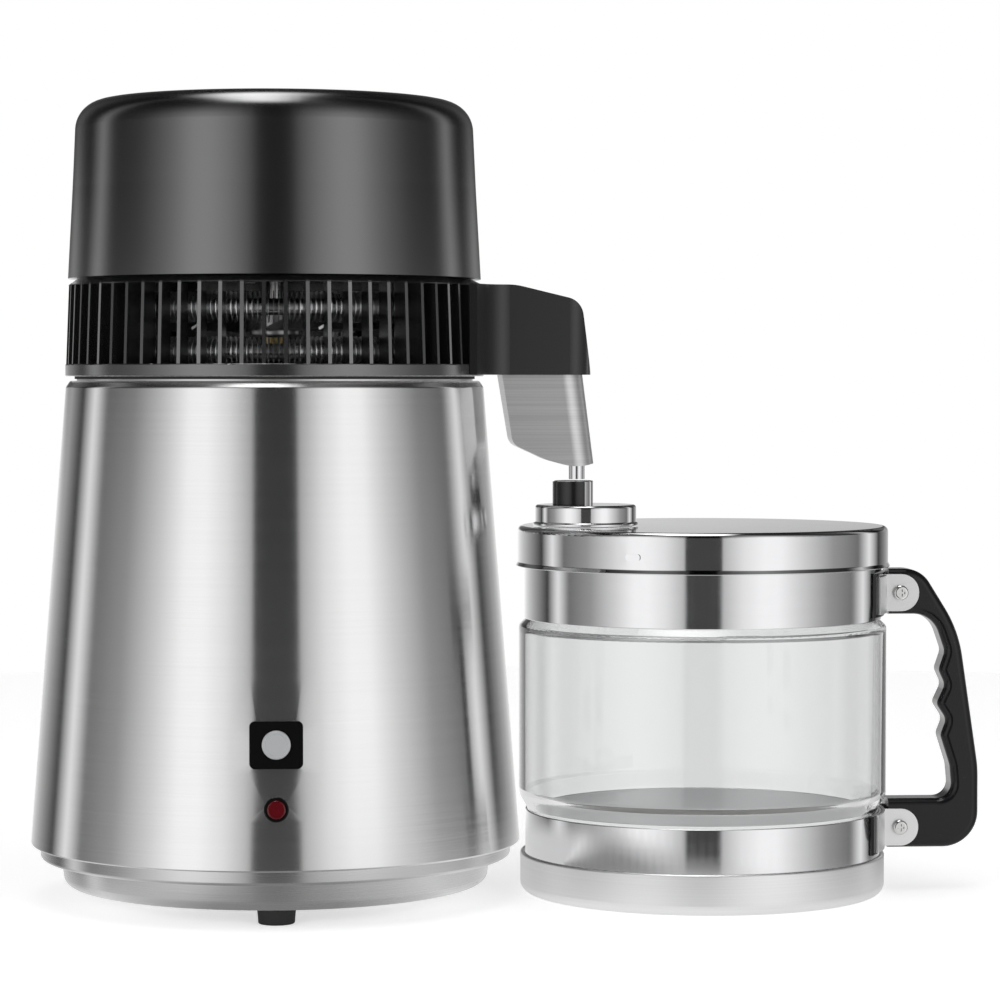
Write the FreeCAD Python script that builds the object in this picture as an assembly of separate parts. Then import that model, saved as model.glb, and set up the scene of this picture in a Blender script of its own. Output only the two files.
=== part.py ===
"""Countertop glass water distiller: a boiler with a lift-off condenser head, and a glass jug beside it.

Millimetres, +Z up.  The origin is the middle of the footprint, at the height of the worktop.
Every function below makes one sub-part, and save() writes it as one STEP file.
"""
import FreeCAD, Part
import math
import os

os.makedirs("parts", exist_ok=True)

# ---------------------------------------------------------------- layout
jug_gap = 0.1                 # from the casing's widest circle to the jug's widest circle
seat_gap = 0.2                # gap of a seat that is taken apart
panel_gap = 0.15              # gap between a moulding and the curved face that it lies on

# ---------------------------------------------------------------- boiler base
foot_height = 6.5
foot_top_radius = 8.75
foot_bottom_radius = 8.2
foot_inset = 25.2             # from the casing's widest circle in to the circle of the feet
foot_count = 3
base_wall = 1.5
skirt_inset = 15.7            # from the casing's widest circle in to the skirt's underside
base_corner = 5.0
skirt_height = 13.0
skirt_flare = 1.5
flange_height = 6.7
flange_inset = 4.5
lip_depth = 19.0              # inward lip of the base ring under the bottom plate
bottom_plate_thickness = 1.5
vent_count = 12
vent_circle = 50.0
vent_length = 26.0
vent_width = 4.0

# ---------------------------------------------------------------- casing
casing_bottom_radius = 115.2
casing_height = 216.8
casing_shoulder = 3.0         # height of the rounded top shoulder
casing_taper = 17.1           # the casing's radius shrinks by this much from base to shoulder
casing_wall = 1.0
casing_shoulder_radius = casing_bottom_radius - casing_taper
foot_circle = casing_bottom_radius - foot_inset
base_bottom_radius = casing_bottom_radius - skirt_inset
skirt_top_radius = base_bottom_radius + skirt_flare
flange_radius = casing_bottom_radius - flange_inset
case_screw_count = 6

# ---------------------------------------------------------------- tank and heater
tank_inset = 13.1             # from the casing's shoulder circle in to the tank's wall
tank_radius = casing_shoulder_radius - tank_inset
tank_wall = 0.8
tank_corner = 6.0
burner_space = 41.3           # from the bottom plate up to the tank's floor
tank_flange = 8.0
tank_flange_radius = tank_radius + tank_flange
heater_inset = 23.0           # from the tank's wall in to the heater's edge
heater_radius = tank_radius - heater_inset
heater_thickness = 7.0
element_inset = 17.0
element_circle = heater_radius - element_inset
element_radius = 3.5
element_arc = 300.0           # degrees
element_leg = 13.0
leg_step = 0.3                # the legs are this much thinner in radius
terminal_length = 9.0
groove_clearance = 0.1
thermostat_radius = 9.0
thermostat_height = 8.0
thermostat_ear = 12.0         # hole centre of the mounting ear, from the thermostat's axis
thermostat_inset = 42.0
thermostat_offset = heater_radius - thermostat_inset
shield_inset = 5.0
shield_radius = tank_radius - shield_inset
shield_thickness = 0.8
shield_rim = 6.0
shield_drop = 18.3            # from the heater's underside down to the shield
standoff_radius = 4.0
standoff_inset = 14.0
standoff_circle = shield_radius - standoff_inset

# ---------------------------------------------------------------- front controls
button_height = 82.3
bezel_width = 23.75
bezel_depth = 21.2
bezel_corner = 2.6
bezel_proud = 1.7
sleeve_width = 19.0
sleeve_length = 8.0
sleeve_floor = 1.5
button_radius = 6.4
button_clearance = 0.3
button_proud = 1.3            # above the bezel
button_cap = 3.6
button_travel = 2.5
stem_radius = 2.4
spring_radius = 4.3
spring_wire = 0.35
wire_sides = 12
spring_turns = 4.0
switch_depth = 12.5
switch_width = 16.0
switch_pocket = 5.0
indicator_height = 53.8
indicator_rim_radius = 5.6
indicator_proud = 0.9
indicator_barrel = 4.7
indicator_barrel_length = 12.0
lens_radius = 4.2
lens_proud = 1.75
lens_stem = 3.2
nut_flats = 13.0
nut_thickness = 2.5

# ---------------------------------------------------------------- rear sockets
inlet_height = 70.0
inlet_face_width = 31.0
inlet_face_height = 24.0
inlet_proud = 2.2
inlet_body_width = 27.0
inlet_body_height = 20.0
inlet_depth = 17.5
inlet_recess_width = 22.8
inlet_recess_height = 16.2
inlet_recess_depth = 15.2
inlet_corner = 2.0
earth_pin_drop = 2.0
inlet_pin_spacing = 7.0
inlet_pin_width = 2.0
inlet_pin_height = 4.0
inlet_pin_length = 12.0
fan_socket_height = 190.0
fan_socket_radius = 9.0
fan_socket_barrel = 6.6
fan_socket_proud = 2.0
fan_socket_depth = 12.0
fan_recess_radius = 5.0
fan_recess_depth = 10.0
fan_pin_radius = 1.0
fan_pin_spacing = 4.2

# ---------------------------------------------------------------- head
gasket_thickness = 1.3
gasket_inset = 4.1            # from the casing's shoulder circle
gasket_radius = casing_shoulder_radius - gasket_inset
plate_thickness = 1.2
plate_inset = 3.0
plate_radius = gasket_radius - plate_inset
band_overhang = 0.2           # the head stands out past the casing's shoulder circle
band_radius = casing_shoulder_radius + band_overhang
band_height = 5.7
band_wall_depth = 10.3
band_inner_radius = band_radius - band_wall_depth
ring_height = 45.6            # louvre ring, bottom to top
louvre_inset = 0.3
louvre_lean = 1.5
louvre_bottom_radius = band_radius - louvre_inset
louvre_top_radius = louvre_bottom_radius - louvre_lean
louvre_chamfer = 3.0
louvre_thickness = 1.7
louvre_depth = 8.0
louvre_pitch_angle = 5.8            # degrees
back_panel_angle = 38.0       # half of the plain panel at the back, under the socket
back_panel_wall = 2.4
rim_height = 3.4
rim_inset = 4.0
rim_depth = 7.9
rim_top_radius = louvre_top_radius - rim_inset
rim_inner_radius = rim_top_radius - rim_depth
arm_wall = 6.3                # thickness of the plain wall behind the spout hood
arm_sector_angle = 23.5             # half angle of the plain wall behind the spout hood, degrees
port_radius = 8.0             # hole in that wall for the outlet hose
pillar_radius = 3.4
pillar_inset = 3.6
pillar_circle = rim_inner_radius - pillar_inset
pillar_count = 4
dome_overhang = 0.4
dome_bottom_radius = louvre_top_radius + dome_overhang
dome_height = 83.7
dome_wall = 2.5
dome_corner = 14.0
dome_boss_height = 16.0

# ---------------------------------------------------------------- condenser
coil_inset = 11.0             # from the pillars' circle in to the coil's
coil_circle = pillar_circle - coil_inset
coil_tube_radius = 3.8
coil_tube_bore = 3.1
elbow_swell = 0.03           # elbows are this much thicker in radius than the tube
coil_wall_gap = 0.05         # radial gap of a hose or fin on its tube
upper_turn_angle = 292.0            # degrees
coil_reach = 10.0             # the riser and the outlet stand this far outside the coil
riser_circle = coil_circle + coil_reach
coil_low_height = 10.9        # centre of the lower turn above the steam plate's underside
coil_turn_rise = 20.5
coil_gap_angle = 26.0               # degrees left open between the ends of a turn
fin_radius = 7.3
fin_thickness = 0.5
fin_pitch_angle = 6.0               # degrees
hose_wall = 1.2
nozzle_step = 6.6             # from the hose's drop forward to the nozzle's axis
hose_bend = 14.0
nozzle_radius = coil_tube_radius
nozzle_bore = 2.9
nozzle_tip_gap = 0.7          # from the drip neck up to the nozzle's tip
nozzle_inset = 27.3           # from the jug's widest circle in to the nozzle's axis
hose_tail = 9.0               # straight end of the hose, past its bend
nozzle_overlap = hose_tail - 1.0
hose_start = coil_circle + coil_reach
nozzle_bend = 9.0
nozzle_straight = 4.0         # below the hose the nozzle goes straight down, then leans forward
nozzle_slant = 17.0           # height of the leaning part

# ---------------------------------------------------------------- spout hood and shroud
hood_bottom_lift = 0.7        # above the ring's underside
hood_wall = 2.0
hood_screw_angle = 14.0
hood_screw_height = 22.0      # above the hood's underside
hood_screw_length = 8.0
hood_past_nozzle = 5.4
hood_end_lean = 5.0           # the end face leans back by this much over its height
hood_height = 42.1
hood_root_half = 41.0
hood_half = 25.0
hood_end_half = 22.5
hood_corner = 11.0
hood_wing = 5.3               # the arm's wide root ends this far inside the head's surface
hood_neck = 2.7               # and the narrow part starts this far outside it
hood_fall = 7.5
hood_brow = 13.7              # the top starts to fall this far outside it
shroud_wall = 1.2
shroud_lip = 1.0
shroud_half_top = 19.0
shroud_half_bottom = 15.0
shroud_corner = 10.0
shroud_past_nozzle = 1.8      # at its top, past the nozzle's axis
shroud_sweep = 5.9            # the shroud's front runs forward by this much on its way down
shroud_depth = 36.6           # from the nozzle's axis back to the shroud's upright edge
shroud_drop = 43.8

# ---------------------------------------------------------------- fan and motor
motor_radius = 32.0
motor_height = 38.0
motor_wall = 1.5
bracket_thickness = 1.5
bracket_radius = 36.0
bracket_arm_width = 12.0
shaft_radius = 2.5
shaft_clearance = 0.05
bush_radius = 6.0
bush_length = 6.0
stator_bore = 18.6
rotor_radius = 18.0
rotor_height = 18.0
winding_height = 4.5
fan_clearance = 11.0          # from the fan's tips to the coil's circle
fan_radius = coil_circle - fan_clearance
fan_hub_radius = 11.0
fan_hub_height = 18.0
fan_blade_count = 6
fan_blade_thickness = 1.2
fan_blade_angle = 28.0        # degrees
fan_blade_chord = 24.0
fan_nut_height = 3.0
motor_screw_circle = 24.0

# ---------------------------------------------------------------- jug
glass_radius = 87.3
cup_inset = 0.7
cup_radius = glass_radius - cup_inset
cup_height = 19.2
cup_wall = 1.2
cup_corner = 5.0
pad_thickness = 2.4
glass_wall = 3.0
glass_neck = 4.3              # the necks are this much smaller in radius
glass_neck_radius = glass_radius - glass_neck
glass_low_shoulder = 39.5
glass_low_full = 46.8
jug_drop = 75.0               # from the casing's top down to the glass's rim
glass_top = foot_height + skirt_height + flange_height + casing_height - jug_drop
glass_high_full = glass_top - 41.0
glass_high_shoulder = glass_top - 37.0
glass_corner = 9.0
band_wall = 1.0
lower_band_radius = glass_neck_radius + 1.2
lower_band_bottom = 10.0
lower_band_top = 39.5
upper_band_radius = glass_neck_radius + 1.8
upper_band_bottom = glass_top - 37.6
upper_band_top = glass_top - 6.0

# ---------------------------------------------------------------- lid, filler cap and drip neck
lid_radius = glass_radius + 0.7
lid_top = glass_top + 6.3
lid_bottom = glass_top - 12.7
lid_flare = 1.1
lid_flare_height = 2.0
lid_wall = 1.2
lid_corner = 2.5
seal_thickness = 4.0
lid_pip_width = 7.0
lid_pip_height = 3.0
lid_pip_proud = 0.9
lid_pip_angle = 242.3         # degrees about the jug axis
lid_pip_level = lid_top - 11.3
filler_inset = 31.6           # from the jug's widest circle in to the filler's axis
filler_offset = glass_radius - filler_inset
filler_collar_radius = 20.5
filler_collar_height = 5.5
cap_radius = 24.0
cap_lip = 1.0
cap_lip_height = 1.6
cap_height = 10.0
cap_wall = 1.2
cap_corner = 1.5
neck_offset = 5.8             # neck axis from the filler axis, towards the boiler
neck_radius = 9.3
neck_height = 11.4
neck_wall = 1.2
sleeve_wall = 0.6
sleeve_opening = 62.0         # half angle that the neck sleeve leaves open, degrees

# ---------------------------------------------------------------- handle
handle_half = 9.5             # half of the handle's thickness
handle_round = 3.5
handle_gap = 1.0              # from the jug's widest circle to the handle's ends
handle_start = glass_radius + handle_gap
upper_arm_bottom = glass_top - 35.95
upper_arm_height = 21.5
lower_arm_bottom = 20.6
lower_arm_height = 23.3
handle_depth = 44.5           # from the jug's widest circle to the handle's outermost point
handle_reach = glass_radius + handle_depth
finger_waves = (              # inward from the outermost point, share of the grip's height, rounding
    (13.6, 0.35, 12.0), (18.2, 0.48, 4.0), (15.3, 0.547, 5.0), (20.2, 0.614, 3.5), (16.0, 0.695, 5.0),
    (19.2, 0.759, 4.0), (16.2, 0.839, 6.0),
)
saddle_thickness = 1.4
saddle_half_angle = 27.0
upper_saddle = (glass_top - 35.9, glass_top - 15.0)
lower_saddle = (20.8, 39.2)
strap_thickness = 1.2
strap_half_angle = 24.5
ear_height = 17.6
ear_length = 14.1             # past the handle's ends
ear_end = handle_start + ear_length
ear_thickness = 1.2
upper_screw_height = glass_top - 25.6
lower_screw_height = 30.6
handle_screw_from_end = 8.8

# ---------------------------------------------------------------- fasteners
m4_radius = 1.95
m4_head_radius = 3.6
m4_nut_flats = 7.0
m4_head_height = 2.4
m3_radius = 1.45
m3_head_radius = 2.7
m3_head_height = 1.9
screw_clearance = 0.25
cross_width = 1.0
cross_length = 3.4
cross_depth = 1.1

# ---------------------------------------------------------------- places worked out from the sizes
axis_spacing = casing_bottom_radius + jug_gap + glass_radius
reach_left = casing_bottom_radius
reach_right = axis_spacing + handle_reach
boiler_x = (reach_left - reach_right) / 2
jug_x = boiler_x + axis_spacing
filler_x = jug_x - filler_offset
neck_x = filler_x - neck_offset
nozzle_offset = axis_spacing - (glass_radius - nozzle_inset)
nozzle_x = boiler_x + nozzle_offset
hose_drop_offset = nozzle_offset - nozzle_step
hood_end = nozzle_offset + hood_past_nozzle
shroud_end_top = nozzle_offset + shroud_past_nozzle
shroud_end_bottom = shroud_end_top + shroud_sweep
shroud_back = nozzle_offset - shroud_depth

base_floor = foot_height
skirt_top = base_floor + skirt_height
casing_bottom = skirt_top + flange_height
casing_top = casing_bottom + casing_height
shoulder_level = casing_top - casing_shoulder
casing_slope = (casing_bottom_radius - casing_shoulder_radius) / (shoulder_level - casing_bottom)
casing_angle = math.atan(casing_slope)
casing_lip_radius = tank_radius + 1.0
plate_top = base_floor + base_wall + bottom_plate_thickness

tank_top = casing_top + tank_wall
tank_floor = plate_top + burner_space
heater_bottom = tank_floor - heater_thickness
shield_level = heater_bottom - shield_drop

ring_bottom = tank_top + gasket_thickness
plate_level = ring_bottom + plate_thickness
ring_top = ring_bottom + ring_height
rim_bottom = ring_top - rim_height
band_top = ring_bottom + band_height
dome_bottom = ring_top
dome_top = dome_bottom + dome_height
head_socket_level = dome_bottom + fan_socket_radius + 6.0
coil_low = ring_bottom + coil_low_height
coil_high = coil_low + coil_turn_rise
hood_bottom = ring_bottom + hood_bottom_lift
hood_top = hood_bottom + hood_height
bracket_top = ring_top + bracket_thickness
shroud_bottom = hood_bottom - shroud_drop
neck_bottom = lid_top + cap_height
neck_top = neck_bottom + neck_height
nozzle_tip_height = neck_top + nozzle_tip_gap
hose_end_height = coil_low - hose_bend - hose_tail
nozzle_slant_top = hose_end_height - nozzle_straight
nozzle_slant_bottom = nozzle_slant_top - nozzle_slant


def vec(x, y, z):
    return FreeCAD.Vector(x, y, z)


def casing_radius(z):
    """Outer radius of the cone at height z."""
    return casing_bottom_radius - (z - casing_bottom) * casing_slope


# ---------------------------------------------------------------- shape helpers
def cyl(r, low, high, x, y=0.0):
    return Part.makeCylinder(r, high - low, vec(x, y, low))


def tube(r_out, r_in, low, high, x, y=0.0):
    return cyl(r_out, low, high, x, y).cut(cyl(r_in, low - 1, high + 1, x, y))


def block(x_low, x_high, y_low, y_high, z_low, z_high):
    return Part.makeBox(x_high - x_low, y_high - y_low, z_high - z_low, vec(x_low, y_low, z_low))


def rounded_wire(corners, place):
    """Closed wire through (u, v) or (u, v, radius) corners, each rounded by a tangent arc."""
    points = [vec(c[0], c[1], 0) for c in corners]
    radii = [c[2] if len(c) > 2 else 0.0 for c in corners]
    count = len(points)
    starts = []
    ends = []
    middles = []
    for i in range(count):
        here = points[i]
        back = points[i - 1] - here
        ahead = points[(i + 1) % count] - here
        turn = back.getAngle(ahead)
        room = 0.49 * min(back.Length, ahead.Length)
        trim = min(radii[i] / math.tan(turn / 2), room) if radii[i] > 0 else 0.0
        radius = trim * math.tan(turn / 2)
        toward_back = vec(back.x, back.y, 0).normalize()
        toward_ahead = vec(ahead.x, ahead.y, 0).normalize()
        starts.append(here + toward_back * trim)
        ends.append(here + toward_ahead * trim)
        if trim > 0:
            halfway = (toward_back + toward_ahead).normalize()
            middles.append(here + halfway * (radius / math.sin(turn / 2) - radius))
        else:
            middles.append(None)
    edges = []
    for i in range(count):
        if middles[i] is not None:
            edges.append(Part.Arc(place(starts[i]), place(middles[i]), place(ends[i])).toShape())
        following = starts[(i + 1) % count]
        if (following - ends[i]).Length > 1e-6:
            edges.append(Part.LineSegment(place(ends[i]), place(following)).toShape())
    return Part.Wire(edges)


def rod_along(route, radius, bend):
    """Round rod along (x, z) points in the XZ plane, with its corners bent to the given radius."""
    points = [vec(x, 0, z) for x, z in route]
    edges = []
    reached = points[0]
    for here, ahead in zip(points[1:-1], points[2:]):
        back = (reached - here).normalize()
        onward = (ahead - here).normalize()
        half_turn = back.getAngle(onward) / 2
        trim = bend / math.tan(half_turn)
        halfway = (back + onward).normalize()
        start = here + back * trim
        middle = here + halfway * (bend / math.sin(half_turn) - bend)
        end = here + onward * trim
        edges.append(Part.LineSegment(reached, start).toShape())
        edges.append(Part.Arc(start, middle, end).toShape())
        reached = end
    edges.append(Part.LineSegment(reached, points[-1]).toShape())
    circle = Part.Wire(Part.makeCircle(radius, points[0], points[1] - points[0]))
    return Part.Wire(edges).makePipeShell([circle], True, False)


def turned(profile, x, y=0.0, angle=360.0):
    """Solid of revolution about the vertical axis at (x, y); corners are (radius, height[, rounding])."""
    wire = rounded_wire(profile, lambda p: vec(x + p.x, y, p.y))
    return Part.Face(wire).revolve(vec(x, y, 0), vec(0, 0, 1), angle)


def plate_up(outline, low, high):
    """Outline in (x, y), raised from low to high."""
    wire = rounded_wire(outline, lambda p: vec(p.x, p.y, low))
    return Part.Face(wire).extrude(vec(0, 0, high - low))


def slab(outline, y_low, y_high):
    """Outline in (x, z), extruded along Y."""
    wire = rounded_wire(outline, lambda p: vec(p.x, y_low, p.y))
    return Part.Face(wire).extrude(vec(0, y_high - y_low, 0))


def rectangle(width, height, corner, low, high):
    """Rounded rectangle about the origin, raised from low to high."""
    w = width / 2
    h = height / 2
    return plate_up([(-w, -h, corner), (w, -h, corner), (w, h, corner), (-w, h, corner)], low, high)


def turn_about(shape, x, y, degrees):
    copy = shape.copy()
    copy.rotate(vec(x, y, 0), vec(0, 0, 1), degrees)
    return copy


def ring_of(shape, count, x, y=0.0, start=0.0):
    """Copies of a shape, evenly spaced about the vertical axis at (x, y)."""
    return [turn_about(shape, x, y, start + 360.0 * i / count) for i in range(count)]


def join(shapes):
    whole = shapes[0].multiFuse(shapes[1:]) if len(shapes) > 1 else shapes[0]
    return whole.removeSplitter()


def cut_all(shape, tools):
    return shape.cut(Part.makeCompound(tools)) if tools else shape


def on_casing(shape, height, rear=False):
    """Move a shape from the local frame, +Z out of the cone's surface, to the front or rear of the casing."""
    side = 1.0 if rear else -1.0
    out = vec(0, side * math.cos(casing_angle), math.sin(casing_angle))
    up = vec(0, -side * math.sin(casing_angle), math.cos(casing_angle))
    across = up.cross(out)
    turn = FreeCAD.Rotation(across, up, out, "ZXY")
    copy = shape.copy()
    seat = FreeCAD.Placement(vec(boiler_x, side * casing_radius(height), height), turn)
    copy.Placement = seat.multiply(copy.Placement)
    return copy


def casing_cone(grow):
    """The cone that the casing's outer face lies on, grown outwards."""
    low = casing_bottom
    high = shoulder_level
    return Part.makeCone(casing_radius(low) + grow, casing_radius(high) + grow, high - low,
                         vec(boiler_x, 0, low))


def screw(shank_radius, length, head_radius, head_height):
    """Pan-head screw: the head's seat at the origin, the head above it, a cross recess in its top."""
    head = turned([(0, 0), (head_radius, 0), (head_radius, head_height, head_height * 0.6),
                   (0, head_height)], 0)
    shank = cyl(shank_radius, -length, 0, 0)
    body = join([head, shank])
    half = cross_length / 2
    top = head_height + 1
    first = block(-half, half, -cross_width / 2, cross_width / 2, head_height - cross_depth, top)
    second = block(-cross_width / 2, cross_width / 2, -half, half, head_height - cross_depth, top)
    return body.cut(join([first, second]))


def hex_nut(flats, bore, thickness):
    """Hexagon nut standing on the origin plane."""
    corner = flats / math.sqrt(3)
    outline = [(corner * math.cos(math.radians(60 * i)),
                corner * math.sin(math.radians(60 * i))) for i in range(6)]
    return plate_up(outline, 0, thickness).cut(cyl(bore, -1, thickness + 1, 0))


def moved(shape, x, y, z):
    copy = shape.copy()
    copy.translate(vec(x, y, z))
    return copy


def upside_down(shape):
    copy = shape.copy()
    copy.rotate(vec(0, 0, 0), vec(1, 0, 0), 180)
    return copy


def save(name, shape):
    """Write one sub-part, after checking that it is a set of sound closed solids."""
    solids = shape.Solids
    sound = bool(solids) and shape.isValid() and all(s.isClosed() and s.Volume > 0 for s in solids)
    if not sound:
        raise RuntimeError(name + " is not a sound solid")
    whole = solids[0] if len(solids) == 1 else Part.makeCompound(solids)
    whole.exportStep("parts/" + name + ".step")
    print(name, len(solids), round(sum(s.Volume for s in solids) / 1000, 2), "cm3")


# ---------------------------------------------------------------- base
def foot_places():
    return [(foot_circle * math.cos(math.radians(a)), foot_circle * math.sin(math.radians(a)))
            for a in [360.0 * i / foot_count - 90.0 for i in range(foot_count)]]


def rubber_feet():
    pocket = m4_head_height + 0.8
    profile = [(m4_radius + screw_clearance, pocket), (m4_head_radius + 0.6, pocket),
               (m4_head_radius + 0.6, 0),
               (foot_bottom_radius, 0, 0.8), (foot_top_radius, foot_height),
               (m4_radius + screw_clearance, foot_height)]
    foot = turned(profile, 0)
    return Part.makeCompound([moved(foot, boiler_x + x, y, 0) for x, y in foot_places()])


def foot_screws():
    seat = m4_head_height + 0.8
    length = plate_top - seat + nut_thickness + 1.0
    one = moved(upside_down(screw(m4_radius, length, m4_head_radius, m4_head_height)), 0, 0, seat)
    return [moved(one, boiler_x + x, y, 0) for x, y in foot_places()]


def foot_nuts():
    one = hex_nut(m4_nut_flats, m4_radius + 0.05, nut_thickness)
    return [moved(one, boiler_x + x, y, plate_top) for x, y in foot_places()]


def foot_holes():
    hole = m4_radius + screw_clearance
    return [cyl(hole, base_floor - 1, plate_top + 1, boiler_x + x, y) for x, y in foot_places()]


def case_screw_places():
    radius = (tank_radius + flange_radius) / 2 + 6.0
    step = 360.0 / case_screw_count
    return [(radius * math.cos(math.radians(step * i + step / 2)),
             radius * math.sin(math.radians(step * i + step / 2))) for i in range(case_screw_count)]


def base_ring():
    inner = base_bottom_radius - lip_depth
    top_lip = base_wall
    lip_inner = (tank_radius + flange_radius) / 2
    profile = [(inner, base_floor), (base_bottom_radius, base_floor, base_corner),
               (skirt_top_radius, skirt_top),
               (flange_radius, skirt_top, 1.5), (flange_radius, casing_bottom), (lip_inner, casing_bottom),
               (lip_inner, casing_bottom - top_lip), (flange_radius - base_wall, casing_bottom - top_lip),
               (flange_radius - base_wall, skirt_top + base_wall),
               (skirt_top_radius - base_wall, skirt_top + base_wall),
               (base_bottom_radius - base_wall, base_floor + base_wall, base_corner - base_wall),
               (inner, base_floor + base_wall)]
    ring = turned(profile, boiler_x)
    holes = [cyl(m4_radius + screw_clearance, casing_bottom - 3, casing_bottom + 3, boiler_x + x, y)
             for x, y in case_screw_places()]
    return cut_all(ring, foot_holes() + holes)


def bottom_plate():
    low = base_floor + base_wall
    disc = cyl(base_bottom_radius - base_wall - base_corner, low, plate_top, boiler_x)
    slot = plate_up([(vent_circle - vent_length / 2, -vent_width / 2, 1.9),
                     (vent_circle + vent_length / 2, -vent_width / 2, 1.9),
                     (vent_circle + vent_length / 2, vent_width / 2, 1.9),
                     (vent_circle - vent_length / 2, vent_width / 2, 1.9)],
                    low - 1, plate_top + 1)
    vents = [moved(v, boiler_x, 0, 0) for v in ring_of(slot, vent_count, 0, 0, 180.0 / vent_count)]
    posts = [cyl(m3_radius + screw_clearance, low - 1, plate_top + 1, boiler_x + x, y)
             for x, y in standoff_places()]
    return cut_all(disc, foot_holes() + vents + posts)


def casing():
    lip_inner = (tank_radius + flange_radius) / 2
    wall = casing_wall
    low = casing_bottom
    profile = [(lip_inner, low), (casing_bottom_radius, low, 0.8),
               (casing_shoulder_radius, shoulder_level, 1.5),
               (casing_shoulder_radius - 2.0, casing_top, 1.8), (casing_lip_radius, casing_top),
               (casing_lip_radius, casing_top - wall), (casing_shoulder_radius - 3.0, casing_top - wall, 1.0),
               (casing_shoulder_radius - wall, shoulder_level - 0.5, 1.0),
               (casing_bottom_radius - wall, low + wall),
               (lip_inner, low + wall)]
    shell = turned(profile, boiler_x)
    holes = [cyl(m4_radius + screw_clearance, low - 1, low + 3, boiler_x + x, y)
             for x, y in case_screw_places()]
    holes.append(on_casing(rectangle(sleeve_width + 0.6, sleeve_width - 1.4, 1.5, -20, 20), button_height))
    holes.append(on_casing(cyl(indicator_barrel + 0.2, -20, 20, 0), indicator_height))
    holes.append(on_casing(rectangle(inlet_body_width + 0.4, inlet_body_height + 0.4, 1.0, -20, 20),
                           inlet_height, True))
    holes.append(on_casing(cyl(fan_socket_barrel + 0.2, -20, 20, 0), fan_socket_height, True))
    return cut_all(shell, holes)


def case_screws():
    seat = casing_bottom + casing_wall
    length = casing_wall + base_wall + nut_thickness + 0.4
    one = screw(m4_radius, length, m4_head_radius, m4_head_height)
    return [moved(one, boiler_x + x, y, seat) for x, y in case_screw_places()]


def case_nuts():
    one = hex_nut(m4_nut_flats, m4_radius + 0.05, nut_thickness)
    level = casing_bottom - base_wall - nut_thickness
    return [moved(one, boiler_x + x, y, level) for x, y in case_screw_places()]


def base_fasteners():
    """The screws and nuts that hold the feet, the bottom plate and the casing to the base ring."""
    return Part.makeCompound(foot_screws() + foot_nuts() + case_screws() + case_nuts())


# ---------------------------------------------------------------- tank and heater
def boiler_tank():
    wall = tank_wall
    profile = [(0, tank_floor), (tank_radius, tank_floor, tank_corner), (tank_radius, casing_top),
               (tank_flange_radius, casing_top), (tank_flange_radius, tank_top),
               (tank_radius - wall, tank_top, 0.6),
               (tank_radius - wall, tank_floor + wall, tank_corner - wall), (0, tank_floor + wall)]
    return turned(profile, boiler_x)


def element_path(grow):
    """Ring of the heating element with its two straight legs, grown by a clearance."""
    radius = element_radius + grow
    circle = Part.Face(Part.Wire(Part.makeCircle(radius, vec(element_circle, 0, 0), vec(0, 1, 0))))
    ring = circle.revolve(vec(0, 0, 0), vec(0, 0, 1), element_arc)
    ends = [vec(element_circle, 0, 0), turn_point(element_circle, element_arc)]
    parts = [ring]
    for end in ends:
        parts.append(Part.makeCylinder(radius - leg_step, element_leg, end, vec(0, 0, -1)))
    whole = join(parts)
    whole.rotate(vec(0, 0, 0), vec(0, 0, 1), (360.0 - element_arc) / 2)
    return moved(whole, boiler_x, 0, heater_bottom)


def turn_point(radius, degrees, z=0.0):
    return vec(radius * math.cos(math.radians(degrees)), radius * math.sin(math.radians(degrees)), z)


def thermostat_places():
    return [(boiler_x, thermostat_offset), (boiler_x, -thermostat_offset)]


def heater_plate():
    disc = turned([(0, heater_bottom), (heater_radius, heater_bottom, 1.5), (heater_radius, tank_floor),
                   (0, tank_floor)], boiler_x)
    if heater_radius > tank_radius - tank_corner:
        disc = disc.common(cyl(tank_radius - tank_corner, heater_bottom - 1, tank_floor + 1, boiler_x))
    holes = [cyl(m3_radius + 0.05, heater_bottom - 1, heater_bottom + 5, x, y)
             for x, y in thermostat_screw_places()]
    return cut_all(disc, [element_path(groove_clearance)] + holes)


def thermostat_screw_places():
    return [(x + side * thermostat_ear, y) for x, y in thermostat_places() for side in (-1, 1)]


def heating_element():
    return element_path(0.0)


def heater_terminals():
    """Porcelain bush and blade on each leg of the element."""
    gap_half = (360.0 - element_arc) / 2
    parts = []
    for angle in (gap_half, -gap_half):
        at = turn_point(element_circle, angle)
        low = heater_bottom - element_leg - terminal_length
        bush = tube(element_radius + 1.6, element_radius + 0.05, heater_bottom - element_leg - 1.5,
                    heater_bottom - element_leg + 4.5, boiler_x + at.x, at.y)
        blade = block(boiler_x + at.x - 3.15, boiler_x + at.x + 3.15, at.y - 0.4, at.y + 0.4,
                      low, heater_bottom - element_leg)
        parts.append(bush.cut(blade))
        parts.append(blade)
    return Part.makeCompound(parts)


def thermostat(place, height):
    """Round snap thermostat with two ears and two blades, its face against the heater plate."""
    x, y = place
    top = heater_bottom
    can = cyl(thermostat_radius, top - height, top, x, y)
    reach = thermostat_ear + 4.0
    flange = moved(rectangle(2 * reach, 7.0, 2.5, 0, 1.0), x, y, top - 1.0)
    blades = [block(x + side * 4.0 - 0.4, x + side * 4.0 + 0.4, y - 3.15, y + 3.15, top - height - 7.0,
                    top - height + 1)
              for side in (-1, 1)]
    holes = [cyl(m3_radius + screw_clearance, top - 3, top + 1, x + side * thermostat_ear,
                 y) for side in (-1, 1)]
    return cut_all(join([can, flange] + blades), holes)


def thermostat_screws():
    one = upside_down(screw(m3_radius, 5.0, m3_head_radius, m3_head_height))
    return [moved(one, x, y, heater_bottom - 1.0) for x, y in thermostat_screw_places()]


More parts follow.
